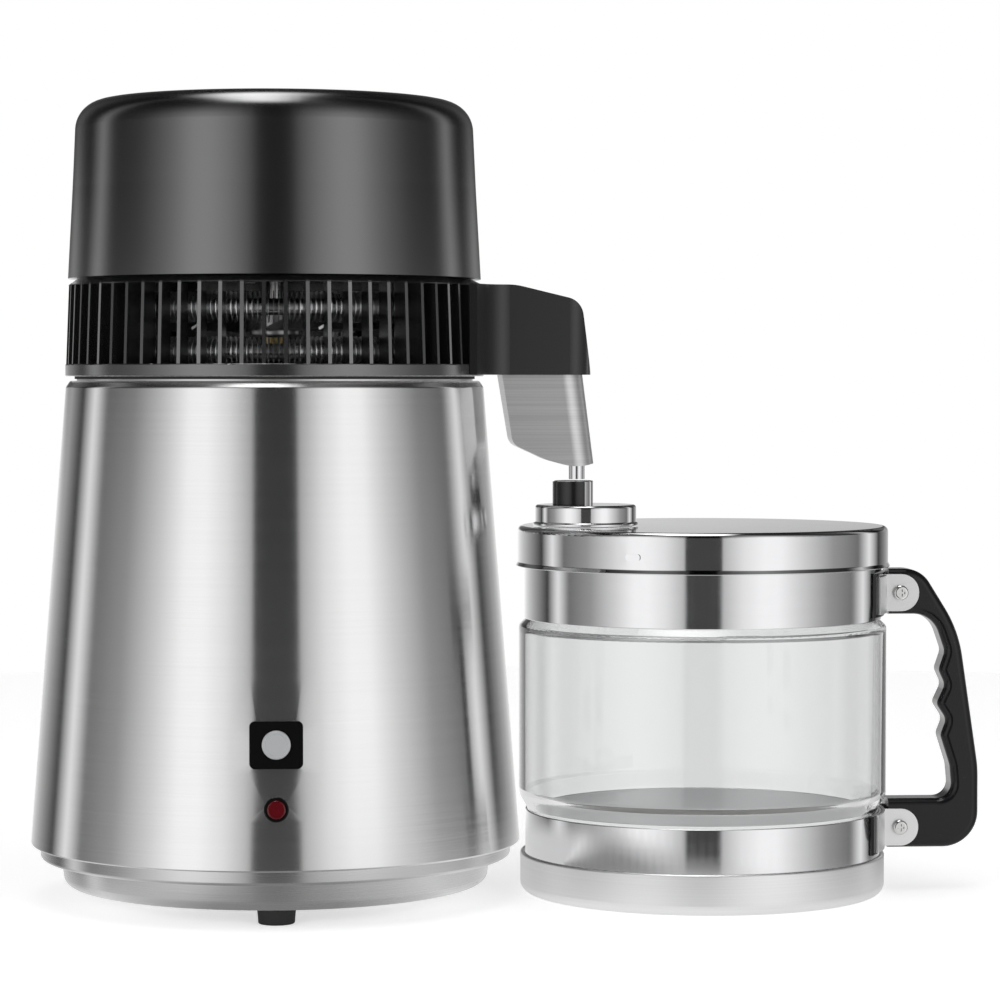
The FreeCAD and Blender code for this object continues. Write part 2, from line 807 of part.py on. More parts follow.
def standoff_places():
    return [(standoff_circle * math.cos(math.radians(a)), standoff_circle * math.sin(math.radians(a)))
            for a in (30.0, 150.0, 270.0)]


def heat_shield():
    wall = shield_thickness
    low = shield_level
    profile = [(0, low), (shield_radius, low, 2.0), (shield_radius, low + shield_rim),
               (shield_radius - wall, low + shield_rim),
               (shield_radius - wall, low + wall, 1.2), (0, low + wall)]
    dish = turned(profile, boiler_x)
    gap_half = (360.0 - element_arc) / 2
    slots = []
    for angle in (gap_half, -gap_half):
        at = turn_point(element_circle, angle)
        slots.append(cyl(6.0, low - 1, low + 3, boiler_x + at.x, at.y))
    holes = [cyl(m3_radius + screw_clearance, low - 1, low + 3, boiler_x + x, y)
             for x, y in standoff_places()]
    return cut_all(dish, slots + holes)


def shield_standoffs():
    posts = [tube(standoff_radius, m3_radius + 0.05, plate_top, shield_level, boiler_x + x, y)
             for x, y in standoff_places()]
    return posts


def shield_screws():
    top_one = screw(m3_radius, 8.0, m3_head_radius, m3_head_height)
    low_one = upside_down(screw(m3_radius, 8.0, m3_head_radius, m3_head_height))
    seat = plate_top - bottom_plate_thickness
    tops = [moved(top_one, boiler_x + x, y, shield_level + shield_thickness) for x, y in standoff_places()]
    lows = [moved(low_one, boiler_x + x, y, seat) for x, y in standoff_places()]
    return tops + lows


def heater_fasteners():
    """Screws of the thermostats, and the posts and screws that carry the heat shield."""
    return Part.makeCompound(thermostat_screws() + shield_standoffs() + shield_screws())


# ---------------------------------------------------------------- front controls
def button_bezel():
    face = rectangle(bezel_width, bezel_depth, bezel_corner, -2.0, bezel_proud)
    face = on_casing(face, button_height).cut(casing_cone(panel_gap))
    sleeve = on_casing(rectangle(sleeve_width, sleeve_width - 2.0, 1.5, -sleeve_length, 0.8), button_height)
    bore = cyl(button_radius + button_clearance, sleeve_floor - sleeve_length, 5, 0)
    way = cyl(stem_radius + button_clearance, -sleeve_length - 1, 5, 0)
    return join([face, sleeve]).cut(on_casing(join([bore, way]), button_height))


def start_button():
    top = bezel_proud + button_proud
    under = top - button_cap
    end = -sleeve_length - 1.0
    profile = [(0, end), (stem_radius, end, 0.4), (stem_radius, under), (button_radius, under),
               (button_radius, top, 0.7), (button_radius - 1.3, top, 0.3),
               (button_radius - 1.6, top - 0.35, 0.3),
               (0, top - 0.35)]
    return on_casing(turned(profile, 0), button_height)


def button_spring():
    low = sleeve_floor - sleeve_length + spring_wire + 0.1
    high = bezel_proud + button_proud - button_cap - spring_wire - 0.1
    helix = Part.makeHelix((high - low) / spring_turns, high - low, spring_radius)
    turn = 2 * math.pi / wire_sides
    corners = [
        vec(spring_radius + spring_wire * math.cos(turn * n), 0, spring_wire * math.sin(turn * n))
        for n in range(wire_sides)
    ]
    profile = Part.makePolygon(corners + corners[:1])
    coil = Part.Wire(helix.Edges).makePipeShell([profile], True, True)
    return on_casing(moved(coil, 0, 0, low), button_height)


def switch_body():
    top = -sleeve_length
    low = top - switch_depth
    body = rectangle(switch_width, switch_width - 1.0, 1.0, low, top)
    pocket = cyl(stem_radius + button_clearance, top - switch_pocket, top + 1, 0)
    blades = [block(x - 0.4, x + 0.4, -3.15, 3.15, low - 3.5, low + 1) for x in (-5.0, 5.0)]
    return on_casing(join([body] + blades).cut(pocket), button_height)


def indicator_rim():
    face = on_casing(turned([(0, -2.0), (indicator_rim_radius, -2.0),
                             (indicator_rim_radius, indicator_proud, 0.5),
                             (0, indicator_proud)], 0), indicator_height).cut(casing_cone(panel_gap))
    barrel = on_casing(cyl(indicator_barrel, -indicator_barrel_length, 0.3, 0), indicator_height)
    seat = cyl(lens_radius + 0.1, 0.3, 5, 0)
    bore = cyl(lens_stem + 0.1, -indicator_barrel_length - 1, 5, 0)
    return join([face, barrel]).cut(on_casing(join([seat, bore]), indicator_height))


def indicator_lens():
    profile = [(0, -indicator_barrel_length + 2.0), (lens_stem, -indicator_barrel_length + 2.0),
               (lens_stem, 0.3),
               (lens_radius, 0.3), (lens_radius, lens_proud, 1.3), (0, lens_proud)]
    return on_casing(turned(profile, 0), indicator_height)


def indicator_nut():
    seat = casing_wall + 0.35
    nut = hex_nut(nut_flats, indicator_barrel + 0.05, nut_thickness)
    return on_casing(moved(nut, 0, 0, -seat - nut_thickness), indicator_height)


# ---------------------------------------------------------------- rear sockets
def inlet_outline(width, height):
    """Rectangle with its two upper corners cut off, as on an appliance inlet."""
    w = width / 2
    h = height / 2
    slant = height / 4
    return [(-w, -h, 0.5), (w, -h, 0.5), (w, h - slant, 0.5), (w - slant, h, 0.5), (slant - w, h, 0.5),
            (-w, h - slant, 0.5)]


def inlet_pin_places():
    return [(-inlet_pin_spacing, -earth_pin_drop), (inlet_pin_spacing, -earth_pin_drop),
            (0.0, earth_pin_drop)]


def power_inlet():
    face = rectangle(inlet_face_width, inlet_face_height, inlet_corner, -3.0, inlet_proud)
    face = on_casing(face, inlet_height, True).cut(casing_cone(panel_gap))
    body = on_casing(rectangle(inlet_body_width, inlet_body_height, 1.0, -inlet_depth, 0.5), inlet_height,
                     True)
    floor = inlet_proud - inlet_recess_depth
    recess = plate_up(inlet_outline(inlet_recess_width, inlet_recess_height), floor, 5)
    holes = [inlet_pin(x, y, 0.03, -inlet_depth - 1, floor + 1) for x, y in inlet_pin_places()]
    return join([face, body]).cut(on_casing(join([recess] + holes), inlet_height, True))


def inlet_pin(x, y, grow, low, high):
    w = inlet_pin_width / 2 + grow
    h = inlet_pin_height / 2 + grow
    return block(x - w, x + w, y - h, y + h, low, high)


def inlet_pins():
    high = inlet_proud - inlet_recess_depth + inlet_pin_length - 2.0
    pins = [inlet_pin(x, y, 0.0, -inlet_depth - 3.0, high) for x, y in inlet_pin_places()]
    return [on_casing(pin, inlet_height, True) for pin in pins]


def fan_socket():
    flange = on_casing(turned([(0, -2.0), (fan_socket_radius, -2.0),
                               (fan_socket_radius, fan_socket_proud, 0.8),
                               (0, fan_socket_proud)], 0), fan_socket_height,
                               True).cut(casing_cone(panel_gap))
    barrel = on_casing(cyl(fan_socket_barrel, -fan_socket_depth, 0.5, 0), fan_socket_height, True)
    recess = cyl(fan_recess_radius, fan_socket_proud - fan_recess_depth, 5, 0)
    holes = [cyl(fan_pin_radius + 0.03, -fan_socket_depth - 1, 0, x) for x in (-fan_pin_spacing / 2,
                                                                               fan_pin_spacing / 2)]
    return join([flange, barrel]).cut(on_casing(join([recess] + holes), fan_socket_height, True))


def fan_socket_pins():
    pins = [cyl(fan_pin_radius, -fan_socket_depth - 2.0, fan_socket_proud - 2.0, x)
            for x in (-fan_pin_spacing / 2, fan_pin_spacing / 2)]
    return [on_casing(pin, fan_socket_height, True) for pin in pins]


def socket_pins():
    """Brass pins of the mains inlet and of the fan lead's socket."""
    return Part.makeCompound(inlet_pins() + fan_socket_pins())


# ---------------------------------------------------------------- head shell
def pillar_places():
    return [(boiler_x + pillar_circle * math.cos(math.radians(a)), pillar_circle * math.sin(math.radians(a)))
            for a in [360.0 * (i + 0.5) / pillar_count for i in range(pillar_count)]]


def pillar_holes(radius, low, high):
    return [cyl(radius, low, high, x, y) for x, y in pillar_places()]


def head_gasket():
    return tube(gasket_radius, tank_radius + 1.0, tank_top, ring_bottom, boiler_x)


def riser_place():
    return turn_point(riser_circle, -upper_turn_angle)


def steam_plate():
    disc = cyl(plate_radius, ring_bottom, plate_level, boiler_x)
    riser = riser_place()
    port = cyl(coil_tube_radius + coil_wall_gap, ring_bottom - 1, plate_level + 1, boiler_x + riser.x,
               riser.y)
    return cut_all(disc, [port] + pillar_holes(m3_radius + screw_clearance, ring_bottom - 1, plate_level + 1))


def louvre():
    """One slat on the +X side, from the band up to the rim."""
    top_out = louvre_top_radius
    outline = [(louvre_bottom_radius - louvre_depth, band_top - 0.5), (louvre_bottom_radius, band_top - 0.5),
               (top_out, rim_bottom + 0.5), (louvre_bottom_radius - louvre_depth, rim_bottom + 0.5)]
    return slab(outline, -louvre_thickness / 2, louvre_thickness / 2)


def back_panel():
    panel = turned([(louvre_bottom_radius - back_panel_wall, band_top - 0.5),
                    (louvre_bottom_radius, band_top - 0.5), (louvre_top_radius, rim_bottom + 0.5),
                    (louvre_top_radius - back_panel_wall, rim_bottom + 0.5)], 0, 0, 2 * back_panel_angle)
    return turn_about(panel, 0, 0, 90.0 - back_panel_angle)


def louvre_ring():
    band = turned([(band_inner_radius, plate_level), (plate_radius + seat_gap, plate_level),
                   (plate_radius + seat_gap, ring_bottom), (band_radius, ring_bottom, 0.6),
                   (band_radius, band_top, 0.6),
                   (band_inner_radius, band_top)], 0)
    rim = turned([(rim_inner_radius, rim_bottom), (louvre_top_radius + 0.2, rim_bottom),
                  (louvre_top_radius, ring_top - louvre_chamfer), (rim_top_radius, ring_top),
                  (rim_inner_radius, ring_top)], 0)
    wall = turned([(band_radius - arm_wall, band_top - 1), (band_radius, band_top - 1),
                   (band_radius, ring_top - louvre_chamfer),
                   (rim_top_radius, ring_top), (band_radius - arm_wall, ring_top)], 0, 0,
                   2 * arm_sector_angle)
    wall.rotate(vec(0, 0, 0), vec(0, 0, 1), -arm_sector_angle)
    slat_count = int((360.0 - 2 * arm_sector_angle) / louvre_pitch_angle)
    first = 180.0 - louvre_pitch_angle * (slat_count - 1) / 2
    turns = [first + louvre_pitch_angle * i for i in range(slat_count)]
    slats = [turn_about(louvre(), 0, 0, turn) for turn in turns if abs(turn - 90.0) > back_panel_angle]
    supports = []
    for x, y in pillar_places():
        angle = math.degrees(math.atan2(y, x - boiler_x))
        rib = block(pillar_circle + 1, louvre_bottom_radius - louvre_depth + 2, -2, 2, plate_level,
                    ring_top - 0.5)
        supports.append(turn_about(rib, 0, 0, angle))
        supports.append(cyl(pillar_radius, plate_level, ring_top, x - boiler_x, y))
    ring = join([band, rim, wall, back_panel()] + slats + supports)
    port = Part.makeCylinder(port_radius, 20, vec(band_radius - 15, 0, coil_low), vec(1, 0, 0))
    ring = moved(ring.cut(port), boiler_x, 0, 0)
    tools = pillar_holes(m3_radius + screw_clearance, ring_bottom,
                         ring_top + 1) + hood_screw_holes(screw_clearance)
    return cut_all(ring, tools)


def dome_profile(grow):
    """Outer corners of the dome, grown outwards."""
    waist = dome_bottom_radius - 2.3
    shoulder = dome_bottom_radius - 4.2
    return [(dome_bottom_radius + grow, dome_bottom), (waist + grow, dome_bottom + dome_height / 2),
            (shoulder + grow, dome_top - 0.6 + grow, dome_corner + grow), (0, dome_top + grow)]


def dome_cover():
    outer = [(0, dome_bottom)] + dome_profile(0.0)
    inner = [(0, dome_bottom - 1), (dome_bottom_radius - dome_wall,
                                    dome_bottom - 1)] + dome_profile(-dome_wall)
    shell = turned(outer, boiler_x).cut(turned(inner, boiler_x))
    lip = tube(dome_bottom_radius - dome_wall + 0.5, rim_inner_radius, dome_bottom, dome_bottom + dome_wall,
               boiler_x)
    parts = [shell, lip]
    for x, y in pillar_places():
        angle = math.degrees(math.atan2(y, x - boiler_x))
        rib = block(pillar_circle + 1, dome_bottom_radius - dome_wall, -2, 2, bracket_top,
                    bracket_top + dome_boss_height)
        parts.append(moved(turn_about(rib, 0, 0, angle), boiler_x, 0, 0))
        parts.append(cyl(pillar_radius, bracket_top, bracket_top + dome_boss_height, x, y))
    holes = pillar_holes(m3_radius + 0.05, bracket_top - 1, bracket_top + dome_boss_height - 2)
    socket = Part.makeCylinder(fan_socket_barrel + 0.2, 30,
                               vec(boiler_x, dome_bottom_radius - 20, head_socket_level), vec(0, 1, 0))
    return cut_all(join(parts), holes + [socket])


def pillar_screws():
    length = bracket_top + dome_boss_height - 5.0 - ring_bottom
    one = upside_down(screw(m3_radius, length, m3_head_radius, m3_head_height))
    return [moved(one, x, y, ring_bottom) for x, y in pillar_places()]


def head_socket():
    """Socket for the fan's lead, at the back of the dome."""
    start = dome_bottom_radius - 14.0
    middle = vec(boiler_x, 0, head_socket_level)
    way = vec(0, 1, 0)
    outline = turned(dome_with_floor(panel_gap), boiler_x)
    flange = Part.makeCylinder(fan_socket_radius, dome_bottom_radius + 1.0 - start, middle + way * start,
                               way).cut(outline)
    barrel = Part.makeCylinder(fan_socket_barrel, dome_bottom_radius - 0.8 - start, middle + way * start, way)
    recess = Part.makeCylinder(fan_recess_radius, 20,
                               middle + way * (dome_bottom_radius + 1.0 - fan_recess_depth), way)
    holes = [Part.makeCylinder(fan_pin_radius + 0.03, 20, middle + vec(x, start - 5, 0), way)
             for x in (-fan_pin_spacing / 2, fan_pin_spacing / 2)]
    return Part.makeCompound([cut_all(join([flange, barrel]), [recess] + holes)] + head_socket_pins())


def head_socket_pins():
    start = dome_bottom_radius - 16.0
    pins = [Part.makeCylinder(fan_pin_radius, 15.0, vec(boiler_x + x, start, head_socket_level), vec(0, 1, 0))
            for x in (-fan_pin_spacing / 2, fan_pin_spacing / 2)]
    return pins


def dome_with_floor(grow):
    return [(0, dome_bottom)] + dome_profile(grow)


# ---------------------------------------------------------------- condenser
def coil_turns(radius):
    """Two rings, the slope between them, the riser and the outlet stub, as one solid rod."""
    circle = Part.Face(Part.Wire(Part.makeCircle(radius, vec(coil_circle, 0, coil_low), vec(0, 1, 0))))
    low_arc = 360.0 - coil_gap_angle
    low = circle.revolve(vec(0, 0, 0), vec(0, 0, 1), low_arc)
    high = moved(circle, 0, 0, coil_turn_rise).revolve(vec(0, 0, 0), vec(0, 0, 1), upper_turn_angle)
    low_end = turn_point(coil_circle, low_arc, coil_low)
    high_start = turn_point(coil_circle, 0, coil_high)
    high_end = turn_point(coil_circle, upper_turn_angle, coil_high)
    riser_top = turn_point(riser_circle, upper_turn_angle, coil_high)
    riser_foot = turn_point(riser_circle, upper_turn_angle, ring_bottom - 1.0)
    stub_start = turn_point(coil_circle, 0, coil_low)
    stub_end = vec(hose_start + 6.0, 0, coil_low)
    parts = [low, high]
    for a, b in ((low_end, high_start), (high_end, riser_top), (riser_top, riser_foot),
                 (stub_start, stub_end)):
        parts.append(Part.makeCylinder(radius, (b - a).Length, a, b - a))
    for p in (low_end, high_start, high_end, riser_top, stub_start):
        parts.append(Part.makeSphere(radius + elbow_swell, p))
    whole = join(parts).mirror(vec(0, 0, 0), vec(0, 1, 0))
    return moved(whole, boiler_x, 0, 0)


def condenser_coil():
    tube_solid = coil_turns(coil_tube_radius)
    riser = riser_place()
    inside = coil_turns(coil_tube_bore)
    ends = [cyl(coil_tube_bore, ring_bottom - 3, ring_bottom + 2, boiler_x + riser.x, riser.y),
            Part.makeCylinder(coil_tube_bore, 6, vec(boiler_x + hose_start + 3, 0, coil_low), vec(1, 0, 0))]
    return cut_all(tube_solid, [inside] + ends)


def coil_fins():
    bore = coil_tube_radius + coil_wall_gap
    fins = []
    low_arc = 360.0 - coil_gap_angle
    clear = math.degrees((fin_radius + coil_tube_radius) / coil_circle)
    for height, arc in ((coil_low, low_arc), (coil_high, upper_turn_angle)):
        count = int((arc - 12.0) / fin_pitch_angle)
        for i in range(count):
            angle = 6.0 + fin_pitch_angle * (i + 0.5)
            if height == coil_low and abs(angle - upper_turn_angle) < clear:
                continue
            fin = Part.makeCylinder(fin_radius, fin_thickness, vec(coil_circle, -fin_thickness / 2, height),
                                    vec(0, 1, 0))
            hole = Part.makeCylinder(bore, 4, vec(coil_circle, -2, height), vec(0, 1, 0))
            fins.append(moved(turn_about(fin.cut(hole), 0, 0, -angle), boiler_x, 0, 0))
    return Part.makeCompound(fins)


def hose_route(start, end_height):
    return [(boiler_x + start, coil_low), (boiler_x + hose_drop_offset, coil_low),
            (boiler_x + hose_drop_offset, end_height)]


def outlet_hose():
    bore = coil_tube_radius + coil_wall_gap
    outside = rod_along(hose_route(hose_start, hose_end_height), bore + hose_wall, hose_bend)
    return outside.cut(rod_along(hose_route(hose_start - 1, hose_end_height - 1), bore, hose_bend))


def nozzle_route(top, tip):
    drop_x = boiler_x + hose_drop_offset
    return [(drop_x, top), (drop_x, nozzle_slant_top), (nozzle_x, nozzle_slant_bottom), (nozzle_x, tip)]


def drip_nozzle():
    top = hose_end_height + nozzle_overlap
    outside = rod_along(nozzle_route(top, nozzle_tip_height), nozzle_radius, nozzle_bend)
    return outside.cut(rod_along(nozzle_route(top + 1, nozzle_tip_height - 1), nozzle_bore, nozzle_bend))


# ---------------------------------------------------------------- spout hood and shroud
def hood_plan(grow):
    """Plan of the arm about the boiler axis, grown outwards."""
    x = boiler_x
    end = x + hood_end + grow
    root = hood_root_half + grow
    side = hood_half + grow
    tip = hood_end_half + grow
    corner = hood_corner + grow
    inside = x + band_radius / 2
    wing = x + band_radius - hood_wing
    neck = x + band_radius + hood_neck
    return [(inside, -root), (wing, -root), (neck, -side, 14), (end, -tip, corner),
            (end, tip, corner), (neck, side, 14), (wing, root), (inside, root)]


def hood_side(shrink, low):
    """Side view of the arm about the boiler axis, shrunk inwards."""
    x = boiler_x
    top = hood_bottom + hood_height - shrink
    end = x + hood_end - shrink
    inside = x + band_radius / 2
    nose = hood_bottom + hood_height - hood_fall - shrink
    return [(inside, low), (end, low), (end - hood_end_lean + 0.2, nose, 9.5 - shrink),
            (x + band_radius + hood_brow, top, 30), (inside, top)]


def hood_solid(shrink, low):
    plan = plate_up(hood_plan(-shrink), low, hood_top + 5)
    return plan.common(slab(hood_side(shrink, low), -60, 60))


def hood_screw_holes(clearance):
    holes = []
    for angle in (-hood_screw_angle, hood_screw_angle):
        way = turn_point(1.0, angle)
        start = vec(boiler_x, 0, hood_bottom + hood_screw_height) + way * (band_radius - arm_wall - 3)
        holes.append(Part.makeCylinder(m3_radius + clearance, hood_screw_length + 4.0, start, way))
    return holes


def hood_screws():
    screws = []
    for angle in (-hood_screw_angle, hood_screw_angle):
        one = screw(m3_radius, hood_screw_length, m3_head_radius, m3_head_height)
        one.rotate(vec(0, 0, 0), vec(0, 1, 0), -90)
        one.rotate(vec(0, 0, 0), vec(0, 0, 1), angle)
        way = turn_point(band_radius - arm_wall - 0.1, angle, hood_bottom + hood_screw_height)
        screws.append(moved(one, boiler_x + way.x, way.y, way.z))
    return screws


def spout_hood():
    back = cyl(band_radius + panel_gap, hood_bottom - 5, hood_top + 5, boiler_x)
    hollow_back = cyl(band_radius + panel_gap + hood_wall, hood_bottom - 5, hood_top + 5, boiler_x)
    hollow = hood_solid(hood_wall, hood_bottom - 1).cut(hollow_back)
    port = Part.makeCylinder(port_radius, 20, vec(boiler_x + band_radius - 10, 0, coil_low), vec(1, 0, 0))
    shell = hood_solid(0.0, hood_bottom).cut(back)
    return cut_all(shell, [hollow, port] + hood_screw_holes(0.05))


def shroud_loft(shrink, low, high):
    """Tapering sleeve under the arm, between two heights, shrunk inwards."""
    wires = []
    for level in (low, high):
        part_way = (hood_bottom - level) / shroud_drop
        half = shroud_half_top + (shroud_half_bottom - shroud_half_top) * part_way - shrink
        end = boiler_x + shroud_end_top + (shroud_end_bottom - shroud_end_top) * part_way - shrink
        start = boiler_x + shroud_back - 4.0
        corner = shroud_corner - shrink
        outline = [(start, -half), (end, -half, corner), (end, half, corner), (start, half)]
        wires.append(rounded_wire(outline, lambda p, z=level: vec(p.x, p.y, z)))
    return Part.makeLoft(wires, True, True)


def shroud_side(shrink, top):
    """Side view of the shroud: a nearly upright back edge that curls forward to the nozzle."""
    x = boiler_x
    b = shroud_bottom + shrink
    back = x + shroud_back + shrink
    return [(back, top), (back, hood_bottom, 30), (back + 5.2, b + 11.2, 6),
            (nozzle_x - 15.6 + shrink * 0.4, b + 3.8, 20), (nozzle_x - 1.6, b, 30),
            (x + shroud_end_bottom + 6, b + 3.4), (x + shroud_end_bottom + 6, top)]


def spout_shroud():
    top = hood_bottom + hood_wall
    outside = shroud_loft(0.0, shroud_bottom - 2, top).common(slab(shroud_side(0.0, top), -40, 40))
    flange = shroud_loft(-shroud_lip, top, top + shroud_wall)
    flange = flange.common(slab(shroud_side(-shroud_lip, top + shroud_wall), -40, 40))
    inside = shroud_loft(shroud_wall, shroud_bottom - 2, top + 4)
    inside = inside.common(slab(shroud_side(shroud_wall, top + 4), -40, 40))
    hole = cyl(nozzle_radius + coil_wall_gap, shroud_bottom - 5, shroud_bottom + 10, nozzle_x)
    return cut_all(join([outside, flange]), [inside, hole])


def hood_floor():
    """Plate that closes the arm's underside and carries the shroud."""
    low = hood_bottom
    high = hood_bottom + hood_wall
    back = cyl(band_radius + panel_gap + hood_wall + 0.1, low - 1, high + 1, boiler_x)
    half = hood_root_half
    slice_of_arm = block(boiler_x, boiler_x + hood_end, -half, half, low, high)
    plate = hood_solid(hood_wall + 0.1, low - 1).common(slice_of_arm).cut(back)
    opening = shroud_loft(-0.1, low - 1, high + 1).common(slab(shroud_side(-0.1, high + 1), -40, 40))
    return plate.cut(opening)


# ---------------------------------------------------------------- motor and fan
def motor_bracket():
    low = ring_top
    disc = cyl(bracket_radius, low, bracket_top, boiler_x)
    arms = []
    for x, y in pillar_places():
        angle = math.degrees(math.atan2(y, x - boiler_x))
        half = bracket_arm_width / 2
        arm = plate_up([(0, -half), (pillar_circle + 3.0, -half, 3.0), (pillar_circle + 3.0, half, 3.0),
                        (0, half)],
                       low, bracket_top)
        arms.append(moved(turn_about(arm, 0, 0, angle), boiler_x, 0, 0))
    plate = join([disc] + arms)
    tools = [cyl(bush_radius + 1.0, low - 1, bracket_top + 1, boiler_x)]
    tools += pillar_holes(m3_radius + screw_clearance, low - 1, bracket_top + 1)
    tools += [cyl(m3_radius + screw_clearance, low - 1, bracket_top + 1, x, y)
              for x, y in motor_screw_places()]
    return cut_all(plate, tools)


def motor_screw_places():
    return [(boiler_x + motor_screw_circle * math.cos(math.radians(a)),
             motor_screw_circle * math.sin(math.radians(a)))
            for a in (0.0, 120.0, 240.0)]


def motor_can():
    low = bracket_top
    high = low + motor_height
    inside = motor_radius - motor_wall
    shell = turned([(0, low), (motor_radius, low, 1.5), (motor_radius, high, 3.0), (0, high)], boiler_x)
    hollow = turned([(0, low + motor_wall), (inside, low + motor_wall), (inside, high - motor_wall, 1.5),
                     (0, high - motor_wall)],
                    boiler_x)
    collars = [tube(bush_radius + 2.0, bush_radius + 0.05, low + motor_wall - 0.5,
                    low + motor_wall + bush_length, boiler_x),
               tube(bush_radius + 2.0, bush_radius + 0.05, high - motor_wall - bush_length,
                    high - motor_wall + 0.5, boiler_x)]
    holes = [cyl(shaft_radius + 1.0, low - 1, low + motor_wall + 1, boiler_x)]
    holes += [cyl(m3_radius + 0.05, low - 1, low + motor_wall + 1, x, y) for x, y in motor_screw_places()]
    return cut_all(join([shell.cut(hollow)] + collars), holes)


def motor_bushes():
    low = bracket_top + motor_wall
    high = bracket_top + motor_height - motor_wall
    bore = shaft_radius + shaft_clearance
    return Part.makeCompound([tube(bush_radius, bore, low, low + bush_length, boiler_x),
                              tube(bush_radius, bore, high - bush_length, high, boiler_x)])


def core_levels():
    middle = bracket_top + motor_height / 2
    return middle - rotor_height / 2, middle + rotor_height / 2


def stator_core():
    low, high = core_levels()
    return tube(motor_radius - motor_wall - 0.05, stator_bore, low, high, boiler_x)


def stator_windings():
    low, high = core_levels()
    inner = stator_bore + 1.0
    outer = motor_radius - motor_wall - 1.5
    rings = []
    for a, b in ((low - winding_height, low), (high, high + winding_height)):
        rings.append(turned([(inner, a, 1.2), (outer, a, 1.2), (outer, b, 0.3), (inner, b, 0.3)], boiler_x))
    return Part.makeCompound(rings)


def motor_rotor():
    low, high = core_levels()
    return tube(rotor_radius, shaft_radius + 0.02, low, high, boiler_x)


def motor_screws():
    one = upside_down(screw(m3_radius, bracket_thickness + motor_wall + 1.0, m3_head_radius, m3_head_height))
    return [moved(one, x, y, ring_top) for x, y in motor_screw_places()]


def head_fasteners():
    """Screws that clamp the head together, hold the spout hood and hold the motor."""
    return Part.makeCompound(pillar_screws() + hood_screws() + motor_screws())


def fan_levels():
    middle = coil_high - 4.0
    return middle - fan_hub_height / 2, middle + fan_hub_height / 2


def fan_shaft():
    low, high = fan_levels()
    top = bracket_top + motor_height - motor_wall - 0.5
    return turned([(0, low - fan_nut_height - 2.0), (shaft_radius, low - fan_nut_height - 2.0, 0.4),
                   (shaft_radius, top, 0.4),
                   (0, top)], boiler_x)


def fan_blades():
    low, high = fan_levels()
    middle = (low + high) / 2
    hub = turned([(0, low), (fan_hub_radius, low, 1.5), (fan_hub_radius, high, 1.5), (0, high)], boiler_x)
    blade = block(fan_hub_radius - 3, fan_radius, -fan_blade_chord / 2, fan_blade_chord / 2,
                  -fan_blade_thickness / 2, fan_blade_thickness / 2)
    blade.rotate(vec(0, 0, 0), vec(1, 0, 0), fan_blade_angle)
    round_tip = cyl(fan_radius, -30, 30, 0)
    blade = moved(blade.common(round_tip), 0, 0, middle)
    blades = [moved(b, boiler_x, 0, 0) for b in ring_of(blade, fan_blade_count, 0)]
    return join([hub] + blades).cut(cyl(shaft_radius + 0.02, low - 20, high + 20, boiler_x))


def fan_nut():
    low, high = fan_levels()
    return moved(hex_nut(8.0, shaft_radius + 0.05, fan_nut_height), boiler_x, 0, low - fan_nut_height)


# ---------------------------------------------------------------- jug
def base_cup():
    wall = cup_wall
    lip = lower_band_radius + 0.1
    profile = [(0, 0), (cup_radius, 0, cup_corner), (cup_radius, cup_height, 1.4), (lip, cup_height, 0.6),
               (lip, cup_height - wall - 0.3, 0.4), (cup_radius - wall, cup_height - wall - 0.3, 0.6),
               (cup_radius - wall, wall, cup_corner - wall), (0, wall)]
    return turned(profile, jug_x)


def glass_pad():
    return cyl(glass_neck_radius - glass_corner, cup_wall, cup_wall + pad_thickness, jug_x)


def jug_glass():
    low = cup_wall + pad_thickness
    wall = glass_wall
    neck = glass_neck_radius
    outer = [(0, low), (neck, low, glass_corner), (neck, glass_low_shoulder, 4),
             (glass_radius, glass_low_full, 5),
             (glass_radius, glass_high_full, 2.5), (neck, glass_high_shoulder, 2.5), (neck, glass_top, 1.2)]
    inner = [(neck - wall, glass_top, 1.2), (neck - wall, glass_high_shoulder - 1.5, 3),
             (glass_radius - wall, glass_high_full - 2.0, 3),
             (glass_radius - wall, glass_low_full + 2.0, 4), (neck - wall, glass_low_shoulder + 1.5, 4),
             (neck - wall, low + wall + 0.5, glass_corner - wall), (0, low + wall + 0.5)]
    return turned(outer + inner, jug_x)


def lower_band():
    outer = lower_band_radius
    return turned([(outer - band_wall, lower_band_bottom), (outer, lower_band_bottom),
                   (outer, lower_band_top, 0.45),
                   (outer - band_wall, lower_band_top, 0.45)], jug_x)


def upper_band():
    outer = upper_band_radius
    inner = outer - band_wall
    return turned([(inner, upper_band_bottom, 0.45), (outer, upper_band_bottom, 0.45),
                   (outer, upper_band_top, 0.45),
                   (inner, upper_band_top, 0.45)], jug_x)


